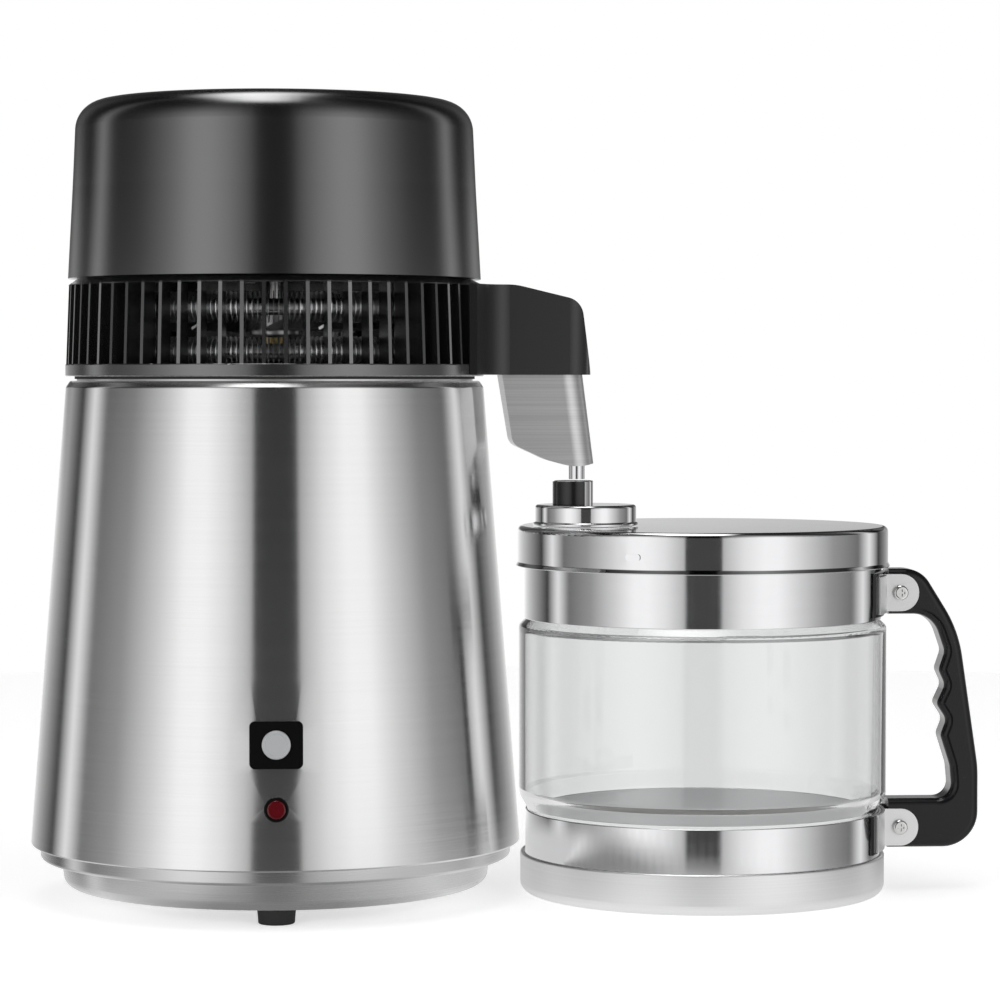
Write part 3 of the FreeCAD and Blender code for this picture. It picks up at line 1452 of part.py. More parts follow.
# ---------------------------------------------------------------- lid, filler cap and neck
def jug_lid():
    wall = lid_wall
    under = lid_top - wall
    skirt = lid_radius
    knee = lid_bottom + lid_flare_height
    profile = [(0, lid_top), (skirt, lid_top, lid_corner), (skirt, knee, 1.0),
               (skirt + lid_flare, lid_bottom, 0.3),
               (skirt + lid_flare - wall, lid_bottom, 0.3), (skirt - wall, knee + 0.3, 1.0),
               (skirt - wall, under, lid_corner - wall), (0, under)]
    shell = turned(profile, jug_x)
    collar = cyl(filler_collar_radius, under, lid_top + filler_collar_height, filler_x)
    bore = cyl(filler_collar_radius - wall, under - 1, lid_top + filler_collar_height + 1, filler_x)
    angle = math.radians(lid_pip_angle)
    pip = rectangle(lid_pip_width, lid_pip_height, 1.2, 0, wall * 0.5 + lid_pip_proud)
    pip.rotate(vec(0, 0, 0), vec(1, 0, 0), 90)
    pip.rotate(vec(0, 0, 0), vec(0, 0, 1), lid_pip_angle + 90)
    depth = lid_radius - wall * 0.5
    pip = moved(pip, jug_x + depth * math.cos(angle), depth * math.sin(angle), lid_pip_level)
    return join([shell, collar, pip]).cut(bore)


def lid_seal():
    high = lid_top - lid_wall
    return tube(lid_radius - lid_wall - lid_corner, glass_neck_radius - glass_wall - 1.0,
                glass_top + seat_gap,
                high, jug_x)


def filler_cap():
    wall = cap_wall
    low = lid_top + seat_gap
    knee = low + cap_lip_height
    profile = [(0, neck_bottom), (cap_radius, neck_bottom, cap_corner), (cap_radius, knee, 0.5),
               (cap_radius + cap_lip, knee - 0.5, 0.4),
               (cap_radius + cap_lip, low, 0.4), (cap_radius - wall, low),
               (cap_radius - wall, neck_bottom - wall, 0.6),
               (0, neck_bottom - wall)]
    cap = turned(profile, filler_x)
    return cap.cut(cyl(neck_radius - neck_wall, low - 1, neck_bottom + 1, neck_x))


def filler_seal():
    low = lid_top + filler_collar_height + seat_gap
    return tube(filler_collar_radius + 0.8, filler_collar_radius - lid_wall - 0.8, low,
                neck_bottom - cap_wall, filler_x)


def drip_neck():
    """Open tube on the filler cap, through which the distilled water drips into the jug."""
    bore = neck_radius - neck_wall
    return turned([(bore, neck_bottom), (neck_radius, neck_bottom), (neck_radius, neck_top, 0.5),
                   (bore, neck_top, 0.5)], neck_x)


def neck_sleeve():
    """Springy sleeve clipped round the neck, open towards the jug's handle."""
    inner = neck_radius + 0.02
    outer = inner + sleeve_wall
    ring = turned([(inner, neck_bottom), (outer, neck_bottom, 0.2), (outer, neck_top - 0.4, 0.5),
                   (inner, neck_top - 0.4)],
                  0, 0, 360.0 - 2 * sleeve_opening)
    return moved(turn_about(ring, 0, 0, sleeve_opening), neck_x, 0, 0)


# ---------------------------------------------------------------- handle
def handle_outline():
    """Side view of the handle about the jug axis, from the upper arm's top clockwise round to the start."""
    x = jug_x
    top = upper_arm_bottom + upper_arm_height
    reach = x + handle_reach
    low = lower_arm_bottom
    start = x + handle_start
    outside = [(start, top), (reach - 27.8, top, 22), (reach - 9.5, upper_arm_bottom - 8, 60),
               (reach, low + 38, 60),
               (reach, low, 17), (start, low)]
    height = upper_arm_bottom - low
    grip = [(reach - inward, low + share * height, rounding) for inward, share, rounding in finger_waves]
    inside = [(start, low + lower_arm_height), (reach - 12.3, low + lower_arm_height, 8)]
    return outside + inside + grip + [(reach - 22.3, upper_arm_bottom, 14), (start, upper_arm_bottom)]


def jug_handle():
    body = slab(handle_outline(), -handle_half, handle_half)
    long_edges = [e for e in body.Edges if all(abs(abs(v.Point.y) - handle_half) < 1e-3 for v in e.Vertexes)
                  and e.Vertexes[0].Point.y * e.Vertexes[-1].Point.y > 0
                  and max(v.Point.x for v in e.Vertexes) > jug_x + handle_start + 1]
    body = body.makeFillet(handle_round, long_edges)
    holes = [Part.makeCylinder(m4_radius + screw_clearance, 60, vec(screw_x(), -30, level), vec(0, 1, 0))
             for level in (upper_screw_height, lower_screw_height)]
    return cut_all(body, holes)


def screw_x():
    return jug_x + ear_end - handle_screw_from_end


def saddle(levels, band_outer):
    """Curved pad between a band and its strap."""
    low, high = levels
    inner = band_outer + 0.1
    pad = turned([(inner, low), (inner + saddle_thickness, low, 0.5), (inner + saddle_thickness, high, 0.5),
                  (inner, high)],
                 0, 0, 2 * saddle_half_angle)
    return moved(turn_about(pad, 0, 0, -saddle_half_angle), jug_x, 0, 0)


def handle_strap(level, band_outer):
    """Steel strap over the saddle with two ears that hold one arm of the handle."""
    low = level - ear_height / 2
    high = level + ear_height / 2
    inner = band_outer + 0.1 + saddle_thickness + 0.05
    strap = turned([(inner, low), (inner + strap_thickness, low), (inner + strap_thickness, high),
                    (inner, high)],
                   0, 0, 2 * strap_half_angle)
    strap = moved(turn_about(strap, 0, 0, -strap_half_angle), jug_x, 0, 0)
    root = jug_x + inner - 2.5
    end = jug_x + ear_end
    half = ear_height / 2
    outline = [(root, low), (end, low, half - 0.3), (end, high, half - 0.3), (root, high)]
    face = handle_half + 0.1
    ears = [slab(outline, -face - ear_thickness, -face), slab(outline, face, face + ear_thickness)]
    keep_out = cyl(inner, low - 1, high + 1, jug_x)
    body = join([strap] + [e.cut(keep_out) for e in ears])
    hole = Part.makeCylinder(m4_radius + screw_clearance, 60, vec(screw_x(), -30, level), vec(0, 1, 0))
    return body.cut(hole)


def handle_screws():
    screws = []
    seat = handle_half + 0.1 + ear_thickness
    for level in (upper_screw_height, lower_screw_height):
        one = screw(m4_radius, 2 * seat + nut_thickness + 0.8, m4_head_radius, m4_head_height)
        one.rotate(vec(0, 0, 0), vec(1, 0, 0), 90)
        screws.append(moved(one, screw_x(), -seat, level))
    return screws


def handle_nuts():
    nuts = []
    seat = handle_half + 0.1 + ear_thickness
    for level in (upper_screw_height, lower_screw_height):
        one = hex_nut(m4_nut_flats, m4_radius + 0.05, nut_thickness)
        one.rotate(vec(0, 0, 0), vec(1, 0, 0), -90)
        nuts.append(moved(one, screw_x(), seat, level))
    return nuts


def handle_fasteners():
    return Part.makeCompound(handle_screws() + handle_nuts())


def handle_saddles():
    return Part.makeCompound([saddle(upper_saddle, upper_band_radius),
                              saddle(lower_saddle, lower_band_radius)])


def handle_straps():
    return Part.makeCompound([handle_strap(upper_screw_height, upper_band_radius),
                              handle_strap(lower_screw_height, lower_band_radius)])


def boil_dry_thermostat():
    return thermostat(thermostat_places()[0], thermostat_height)


def overheat_cutout():
    return thermostat(thermostat_places()[1], thermostat_height)


SUBPARTS = [base_ring, bottom_plate, rubber_feet, base_fasteners, casing, boiler_tank, heater_plate,
            heating_element,
            heater_terminals, boil_dry_thermostat, overheat_cutout, heat_shield, heater_fasteners,
            button_bezel,
            start_button, button_spring, switch_body, indicator_rim, indicator_lens, indicator_nut,
            power_inlet,
            fan_socket, socket_pins, head_gasket, steam_plate, louvre_ring, dome_cover, head_fasteners,
            head_socket,
            condenser_coil, coil_fins, outlet_hose, drip_nozzle, spout_hood, hood_floor, spout_shroud,
            motor_bracket, motor_can, motor_bushes, stator_core, stator_windings, motor_rotor, fan_shaft,
            fan_blades,
            fan_nut, base_cup, glass_pad, jug_glass, lower_band, upper_band, jug_lid, lid_seal, filler_cap,
            filler_seal,
            drip_neck, neck_sleeve, jug_handle, handle_saddles, handle_straps, handle_fasteners]

for make in SUBPARTS:
    save(make.__name__, make())
print("boiler axis x", round(boiler_x, 3), "jug axis x", round(jug_x, 3), "sub-parts", len(SUBPARTS))
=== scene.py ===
"""Looks of a countertop glass water distiller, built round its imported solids."""

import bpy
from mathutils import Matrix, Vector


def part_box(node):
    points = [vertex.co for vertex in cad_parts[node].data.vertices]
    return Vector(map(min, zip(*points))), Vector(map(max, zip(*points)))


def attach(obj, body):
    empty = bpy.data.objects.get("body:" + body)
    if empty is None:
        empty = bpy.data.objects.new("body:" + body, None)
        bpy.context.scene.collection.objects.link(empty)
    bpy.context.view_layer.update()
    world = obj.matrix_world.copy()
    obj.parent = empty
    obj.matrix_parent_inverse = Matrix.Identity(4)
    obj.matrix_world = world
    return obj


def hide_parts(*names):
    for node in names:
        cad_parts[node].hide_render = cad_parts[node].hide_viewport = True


bl_info = {
    "name": "Water Distiller Looks",
    "version": (1, 0, 0),
    "blender": (4, 5, 0),
    "location": "3D View > Sidebar > Distiller",
    "description": "Dresses a glass water distiller: steel boiler, black head, glass jug",
    "category": "Object",
}

import math

import bmesh
import bpy
from bpy.props import FloatProperty, FloatVectorProperty, IntProperty, PointerProperty
from bpy.types import Operator, Panel, PropertyGroup
from mathutils import Matrix, Vector

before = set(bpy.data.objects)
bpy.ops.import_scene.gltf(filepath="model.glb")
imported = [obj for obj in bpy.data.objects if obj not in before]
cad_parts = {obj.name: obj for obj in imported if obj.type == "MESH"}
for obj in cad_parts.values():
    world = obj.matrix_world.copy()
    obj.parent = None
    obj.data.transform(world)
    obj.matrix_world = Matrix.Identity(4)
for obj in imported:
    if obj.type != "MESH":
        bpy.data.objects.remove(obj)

# The coil: how far its upper turn stands over its lower one, and the gap where a turn ends
COIL_RISE = 0.0205
COIL_GAP = math.radians(26)

# A flat round fin: its sheet, how far it stands along the coil from its mark, how much
# smaller it is than the plain solid's, and the angle from which its edges are sharp
FIN_SHEET = 0.0004
FIN_SHIFT = 0.00015
FIN_SLACK = 0.0001
FIN_SHARP = math.radians(40)

# The wall of the jug's bands, as shares of its outer radius: dull up to the first of these,
# bright from the second
BAND_INSIDE = 0.9955
BAND_OUTSIDE = 0.998

# Width of the camera's film in millimetres
FILM_WIDTH = 36.0

# The round sheet of paper: its radius, its own glow, and its glow in mirror images
PAPER_RADIUS = 1.3
PAPER_GLOW = 0.5
PAPER_MIRRORED = 0.95

# The light tent: its size, its strongest glow, and the glow of the card across its top
TENT_RADIUS = 1.9
TENT_TALL = 6.0
TENT_PEAK = 1.2
CARD_GLOW = 4.0

# The tent's glow, by degrees from the camera's side round to the back
TENT_LIGHT = (
    (0, 0.07), (10.6, 0.07), (11.6, 0.6), (24, 1.0), (36, 1.2), (46, 1.18), (60, 0.82),
    (80, 0.38), (101, 0.2), (113, 1.0), (126, 0.05), (150, 0.5), (180, 1.08),
)

# Each soft box: name, azimuth in degrees, distance, height, width, tall and radiance
SOFT_BOXES = (
    ("box_left", -35, 1.9, 0.35, 1.4, 1.3, 1.9),
    ("side_left", -68, 1.9, 0.35, 0.8, 1.3, 0.7),
    ("box_right", 33, 1.9, 0.35, 1.35, 1.3, 1.9),
    ("side_right", 66, 1.9, 0.35, 0.9, 1.3, 0.7),
    ("box_top", 0, 0.4, 2.2, 1.2, 1.2, 1.2),
)
LAMP_AIM = Vector((0, 0, 0.18))

# CAD nodes that show in no mirror image
MIRRORED_ALONE = (
    "casing", "base_ring", "rubber_feet", "bottom_plate", "base_fasteners", "boiler_tank",
    "heater_plate", "heating_element", "heater_terminals", "heater_fasteners", "heat_shield",
    "boil_dry_thermostat", "overheat_cutout", "switch_body", "button_spring", "indicator_nut",
    "power_inlet", "fan_socket", "socket_pins", "head_gasket", "jug_glass", "jug_lid", "lid_seal",
    "upper_band", "lower_band", "base_cup", "glass_pad",
)


def centre_of(node):
    """The middle of a CAD node's box."""
    low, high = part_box(node)
    return (low + high) / 2


BOILER_AXIS = centre_of("casing").xy.to_3d()
JUG_AXIS = centre_of("jug_glass").xy.to_3d()


# Shader maths


class Signal:
    """An output socket whose sums and products add Math nodes."""

    def __init__(self, tree, socket):
        self.tree = tree
        self.socket = socket

    def _math(self, operation, *values):
        return self.tree.node("ShaderNodeMath", {"operation": operation}, dict(enumerate(values)))

    def __add__(self, other):
        return self._math("ADD", self, other)

    def __rsub__(self, other):
        return self._math("SUBTRACT", other, self)

    def __mul__(self, other):
        return self._math("MULTIPLY", self, other)

    def __truediv__(self, other):
        return self._math("DIVIDE", self, other)

    def __abs__(self):
        return self._math("ABSOLUTE", self)

    def __or__(self, other):
        return self._math("MAXIMUM", self, other)

    __radd__ = __add__
    __rmul__ = __mul__

    def wave(self):
        return self._math("SINE", self)

    def part(self, axis):
        return self.tree.node("ShaderNodeSeparateXYZ", {}, {0: self}, out=axis)


class Nodes:
    """A node tree, whose nodes all come from one method."""

    def __init__(self, tree):
        self.tree = tree

    def node(self, kind, settings, sockets, out=0):
        """Adds a node: its settings first, then the values or links of its sockets."""
        made = self.tree.nodes.new(kind)
        for name, value in settings.items():
            if name == "stops":
                ramp = made.color_ramp
                while len(ramp.elements) < len(value):
                    ramp.elements.new(0.5)
                for element, (place, shade) in zip(ramp.elements, value):
                    element.position = place
                    element.color = (shade, shade, shade, 1.0)
            else:
                setattr(made, name, value)
        for name, value in sockets.items():
            if isinstance(value, Signal):
                self.tree.links.new(value.socket, made.inputs[name])
            else:
                made.inputs[name].default_value = value
        return Signal(self, made.outputs[out])

    def place(self, centre=(0, 0, 0), scale=(1, 1, 1), turn=(0, 0, 0)):
        """Object coordinates, centred on a point, turned and scaled."""
        here = self.node("ShaderNodeTexCoord", {}, {}, out="Object")
        moved = self.node(
            "ShaderNodeVectorMath", {"operation": "SUBTRACT"}, {0: here, 1: tuple(centre)}
        )
        return self.node(
            "ShaderNodeMapping", {}, {"Vector": moved, "Rotation": turn, "Scale": scale}
        )

    def length(self, vector):
        return self.node("ShaderNodeVectorMath", {"operation": "LENGTH"}, {0: vector}, out=1)

    def azimuth(self, way):
        """0 for a direction on the camera's side, and 1 for the opposite one, either way round."""
        sides = {0: way.part(0), 1: way.part(1) * -1.0}
        return abs(self.node("ShaderNodeMath", {"operation": "ARCTAN2"}, sides)) / math.pi

    def noise(self, place, scale, detail=2.0, roughness=0.5):
        sockets = {"Vector": place, "Scale": scale, "Detail": detail, "Roughness": roughness}
        return self.node("ShaderNodeTexNoise", {}, sockets)

    def ramp(self, signal, *stops):
        return self.node("ShaderNodeValToRGB", {"stops": stops}, {0: signal})

    def mix(self, mask, first, second):
        """One colour or the other, by a mask from 0 to 1."""
        sockets = {0: mask, 6: (*first, 1), 7: (*second, 1)}
        return self.node("ShaderNodeMix", {"data_type": "RGBA"}, sockets, out=2)

    def either(self, mask, first, second):
        """One shader or the other, by a mask from 0 to 1."""
        return self.node("ShaderNodeMixShader", {}, {0: mask, 1: first, 2: second})

    def seen(self, *rays):
        """1 for rays of these kinds, such as Camera or Glossy."""
        kinds = [self.node("ShaderNodeLightPath", {}, {}, out=f"Is {ray} Ray") for ray in rays]
        found = kinds[0]
        for kind in kinds[1:]:
            found = found | kind
        return found

    def end(self, shader, output):
        self.tree.links.new(shader.socket, self.tree.nodes[output].inputs["Surface"])


class Paint(Nodes):
    """A material on one Principled shader, whose fixed values sit on the shader's own sockets."""

    def __init__(self, name, color, **values):
        self.material = bpy.data.materials.new(name)
        self.material.use_nodes = True
        super().__init__(self.material.node_tree)
        self.shader = self.tree.nodes["Principled BSDF"]
        self.shader.inputs["Base Color"].default_value = (*color, 1.0)
        for socket, value in values.items():
            self.shader.inputs[socket.replace("_", " ")].default_value = value

    def feed(self, socket, signal):
        self.tree.links.new(signal.socket, self.shader.inputs[socket])
        return self

    def mottle(self, mask, color, low, high=1.0):
        """Lets the colour run from low to high times itself, by a mask from 0 to 1."""
        dark, light = (tuple(c * share for c in color) for share in (low, high))
        return self.feed("Base Color", self.mix(mask, dark, light))

    def bump(self, height, depth):
        """Raises the surface by height, where 1 stands for depth metres."""
        raised = self.node("ShaderNodeBump", {}, {"Height": height, "Distance": depth})
        return self.feed("Normal", raised)


# Finishes. A finish's noise makes its roughness a little more and less than the one given.


def brushed_steel(
    name, color, roughness, axis, depth=0.000004, anisotropic=0.95, spread=0.04, lean=0.0
):
    """Stainless sheet, brushed in fine lines round an upright axis, level or leaning."""
    paint = Paint(name, color, Metallic=1.0, Anisotropic=anisotropic, Anisotropic_Rotation=0.25)
    turn = (0, lean, 0)
    fine = paint.noise(paint.place(axis, (9, 9, 2400), turn), 1.0, 3.0, 0.65)
    bands = paint.noise(paint.place(axis, (3, 3, 320), turn), 1.0)
    smudge = paint.noise(paint.place(axis, (22, 22, 14)), 1.0, 3.0)
    grain = fine * 0.7 + bands * 0.3
    paint.mottle(paint.ramp(grain, (0.3, 0), (0.7, 1)), color, 1 - spread, 1 + spread)
    paint.feed("Roughness", grain * 0.14 + smudge * 0.05 + (roughness - 0.095))
    return paint.bump(grain, depth)


def satin_sheet(name, color, roughness):
    """Plain pressed stainless, as it leaves the press: faint rolling lines and smudges."""
    paint = Paint(name, color, Metallic=1.0)
    rolling = paint.noise(paint.place(scale=(40, 900, 900)), 1.0)
    smudge = paint.noise(paint.place(scale=(30, 30, 30)), 1.0, 4.0)
    paint.mottle(smudge, color, 0.9)
    paint.feed("Roughness", rolling * 0.12 + smudge * 0.12 + (roughness - 0.12))
    return paint.bump(rolling, 0.000008)


def polished_steel(name, color, roughness, band_radius=None):
    """Mirror polish with the faint wobble that polishing leaves; a band is dull on its inside."""
    paint = Paint(name, color, Metallic=1.0)
    buffing = paint.noise(paint.place(scale=(18, 18, 60)), 1.0)
    haze = paint.noise(paint.place(scale=(60, 60, 260)), 1.0, 3.0)
    paint.mottle(haze, color, 0.96)
    rough = haze * 0.05 + (roughness - 0.025)
    if band_radius:
        out = paint.length(paint.place(JUG_AXIS, (1, 1, 0))) / band_radius
        rough = rough + paint.ramp(out, (BAND_INSIDE, 0.55), (BAND_OUTSIDE, 0.0))
    paint.feed("Roughness", rough)
    return paint.bump(buffing, 0.00002)


def moulded_plastic(name, color, roughness, pebble=0.00002, size=1400, **values):
    """Moulded plastic with a fine spark-eroded texture."""
    paint = Paint(name, color, Coat_Roughness=roughness, **values)
    skin = paint.noise(paint.place(), size)
    flow = paint.noise(paint.place(scale=(12, 12, 12)), 1.0, 3.0)
    paint.mottle(flow, color, 0.86, 1.12)
    paint.feed("Roughness", skin * 0.08 + flow * 0.06 + (roughness - 0.07))
    return paint.bump(skin, pebble)


def soft_rubber(name, color):
    """Moulded rubber: dull, with dust in its skin."""
    paint = Paint(name, color)
    dust = paint.noise(paint.place(), 260, 5.0, 0.7)
    paint.mottle(dust, color, 0.8, 1.5)
    paint.feed("Roughness", dust * 0.15 + 0.66)
    return paint.bump(dust, 0.00004)


def clear_silicone(name, color):
    """Milky silicone, as in hoses and seals."""
    depth = (0.004, 0.004, 0.004)
    paint = Paint(name, color, Subsurface_Weight=0.25, Subsurface_Radius=depth)
    cloud = paint.noise(paint.place(), 180, 3.0)
    paint.mottle(cloud, color, 0.94)
    paint.feed("Roughness", cloud * 0.12 + 0.38)
    return paint.bump(cloud, 0.00001)


def jug_clear(name, color):
    """Pressed borosilicate glass with a faint wave in its wall, which light passes straight."""
    paint = Paint(name, color, Transmission_Weight=1.0, IOR=1.47)
    wave = paint.noise(paint.place(JUG_AXIS, (16, 16, 22)), 1.0, 1.0)
    wipe = paint.noise(paint.place(JUG_AXIS, (90, 90, 24)), 1.0, 3.0)
    paint.feed("Roughness", paint.ramp(wipe, (0.55, 0.0), (1.0, 0.06)))
    paint.bump(wave, 0.00006)
    wall = Signal(paint, paint.shader.outputs[0])
    lit = paint.node("ShaderNodeBsdfTransparent", {}, {})
    paint.end(paint.either(paint.seen("Shadow"), wall, lit), "Material Output")
    return paint


def zinc_plate(name, color):
    """Zinc plate: a cool crystal pattern, a little tarnished."""
    paint = Paint(name, color, Metallic=0.9)
    spangle = paint.node("ShaderNodeTexVoronoi", {}, {"Vector": paint.place(), "Scale": 420.0})
    tarnish = paint.noise(paint.place(), 120, 4.0)
    paint.mottle(spangle, color, 0.82)
    paint.feed("Roughness", spangle * 0.15 + tarnish * 0.15 + 0.25)
    return paint.bump(tarnish, 0.00001)


def turned_metal(name, color, roughness, across=(1, 1, 1)):
    """Bare metal with fine tool marks across one direction."""
    paint = Paint(name, color, Metallic=1.0)
    marks = paint.noise(paint.place(scale=tuple(c * 900 for c in across)), 1.0)
    stain = paint.noise(paint.place(), 90, 4.0)
    paint.mottle(stain, color, 0.82)
    paint.feed("Roughness", marks * 0.12 + stain * 0.1 + (roughness - 0.1))
    return paint.bump(marks, 0.000012)


def laminated_core(name, color, step):
    """A stack of stamped core sheets, seen edge on."""
    paint = Paint(name, color, Metallic=0.7)
    gap = (paint.place().part(2) * (2 * math.pi / step)).wave()
    rust = paint.noise(paint.place(), 140, 5.0)
    paint.mottle(rust, color, 1.0, 1.35)
    paint.feed("Roughness", rust * 0.2 + 0.4)
    return paint.bump(gap, 0.00012)


def wound_wire(name, color, step):
    """Enamelled wire wound round a tooth, turn beside turn."""
    paint = Paint(name, color, Metallic=0.85, Coat_Weight=0.6, Coat_Roughness=0.1)
    turns = (paint.place(BOILER_AXIS).part(2) * (2 * math.pi / step)).wave()
    shade = paint.noise(paint.place(), 200, 3.0)
    paint.mottle(shade, color, 0.75)
    paint.feed("Roughness", shade * 0.15 + 0.25)
    return paint.bump(turns, 0.00015)


def dry_ceramic(name, color):
    """Unglazed steatite, speckled and dry."""
    paint = Paint(name, color)
    specks = paint.noise(paint.place(), 700, 3.0, 0.8)
    paint.mottle(paint.ramp(specks, (0.3, 0), (0.4, 1)), color, 0.8)
    paint.feed("Roughness", specks * 0.2 + 0.5)
    return paint.bump(specks, 0.00003)


def lamp_lens(name, color):
    """A clear red lens over a small lamp that is off."""
    paint = Paint(name, color, Transmission_Weight=0.5, IOR=1.49)
    swirl = paint.noise(paint.place(), 500)
    paint.mottle(swirl, color, 0.8)
    paint.feed("Roughness", swirl * 0.08 + 0.06)
    return paint.bump(swirl, 0.00001)


# What pieces share


def dress(paint, *nodes):
    """Puts a finish on CAD nodes."""
    for name in nodes:
        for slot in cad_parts[name].material_slots:
            slot.material = paint.material


def put_up(name, shape, material):
    """Makes an object of a bmesh, in its material."""
    mesh = bpy.data.meshes.new(name)
    shape.to_mesh(mesh)
    shape.free()
    mesh.materials.append(material)
    made = bpy.data.objects.new(name, mesh)
    bpy.context.scene.collection.objects.link(made)
    return made


# Settings


class DistillerStudio(PropertyGroup):
    """The camera and the light of the studio."""

    eye: FloatVectorProperty(
        name="Eye", description="Where the camera stands", default=(-0.1096, -1.655, 0.2444),
        size=3, subtype="TRANSLATION", unit="LENGTH",
    )
    tilt: FloatProperty(
        name="Tilt", description="How far the camera looks down", default=math.radians(2.0),
        subtype="ANGLE", unit="ROTATION",
    )
    pan: FloatProperty(
        name="Pan", description="How far the camera looks to the right",
        default=math.radians(3.67), subtype="ANGLE", unit="ROTATION",
    )
    lens: FloatProperty(
        name="Lens", description="Focal length in millimetres", default=126.0, min=20.0
    )
    room: FloatProperty(
        name="Room", description="Strength of the plain room light", default=0.55, min=0.0
    )
    paper: FloatVectorProperty(
        name="Paper", description="Colour of the white paper under the object",
        default=(0.9, 0.9, 0.9), size=3, subtype="COLOR",
    )


class DistillerFinishes(PropertyGroup):
    """The colours of the main finishes."""

    casing: FloatVectorProperty(
        name="Casing", description="Brushed steel of the boiler", default=(0.76, 0.76, 0.76),
        size=3, subtype="COLOR",
    )
    head: FloatVectorProperty(
        name="Head", description="Plastic of the head and the arm",
        default=(0.006, 0.006, 0.0065), size=3, subtype="COLOR",
    )
    bright: FloatVectorProperty(
        name="Bright steel", description="Polished steel of lid and bands",
        default=(0.75, 0.75, 0.76), size=3, subtype="COLOR",
    )
    handle: FloatVectorProperty(
        name="Handle", description="Glossy plastic of handle and sleeve",
        default=(0.008, 0.008, 0.009), size=3, subtype="COLOR",
    )
    glass: FloatVectorProperty(
        name="Glass", description="Tint of the jug's glass", default=(0.875, 0.882, 0.88),
        size=3, subtype="COLOR",
    )
    lens: FloatVectorProperty(
        name="Lamp", description="Red of the indicator's lens", default=(0.17, 0.004, 0.01),
        size=3, subtype="COLOR",
    )


class DistillerCondenser(PropertyGroup):
    """The cooling fins behind the louvres."""

    fin_pitch: FloatProperty(
        name="Fin pitch", description="Distance from fin to fin along the coil",
        default=0.0022, min=0.001, unit="LENGTH",
    )
    fin_sides: IntProperty(
        name="Fin sides", description="Corners of one round fin", default=18, min=8, max=48
    )


# The studio


def lamp(name, azimuth, distance, height, width, tall, radiance):
    """A soft box that faces the object; azimuth 0 is over the camera and 90 on the right."""
    data = bpy.data.lights.new(name, "AREA")
    data.shape = "RECTANGLE"
    data.size = width
    data.size_y = tall
    data.energy = radiance * math.pi * width * tall
    box = bpy.data.objects.new(name, data)
    turn = math.radians(azimuth)
    box.location = (distance * math.sin(turn), -distance * math.cos(turn), height)
    box.rotation_euler = (LAMP_AIM - box.location).to_track_quat("-Z", "Z").to_euler()
    box.visible_camera = False
    box.visible_glossy = False
    bpy.context.scene.collection.objects.link(box)


def tent_glow(tree, way):
    """The glow of the light tent that way.

    It is dark at the camera, brightest beside it, and has a thin rim light further round.
    Straight behind the object only its lowest part glows in full. Higher up it has more
    contrast and then fades, but for a bright card across the top.
    """
    around = tree.azimuth(way)
    length = tree.length(way)
    height = way.part(2) / length
    stops = ((angle / 180, glow / TENT_PEAK) for angle, glow in TENT_LIGHT)
    shade = tree.ramp(around, *stops)
    above = tree.ramp(height, (0.22, 0.0), (0.26, 1.0))
    fade = tree.ramp(height, (0.33, 1.0), (0.8, 0.14))
    beside = tree.ramp(around, (0.8, 1.0), (0.9, 0.0))
    low_down = tree.ramp(height, (0.1, 1.0), (0.2, 0.15))
    card = tree.ramp(abs(way.part(0) / length + 0.1), (0.0, 1.0), (0.12, 0.8), (0.3, 0.0))
    card = card * tree.ramp(height, (0.86, 0.0), (0.96, 1.0))
    contrast = 1.0 - above + shade * above
    glow = shade * contrast * fade * (beside | low_down) + card * CARD_GLOW
    return tree.node("ShaderNodeEmission", {}, {"Color": glow, "Strength": TENT_PEAK})


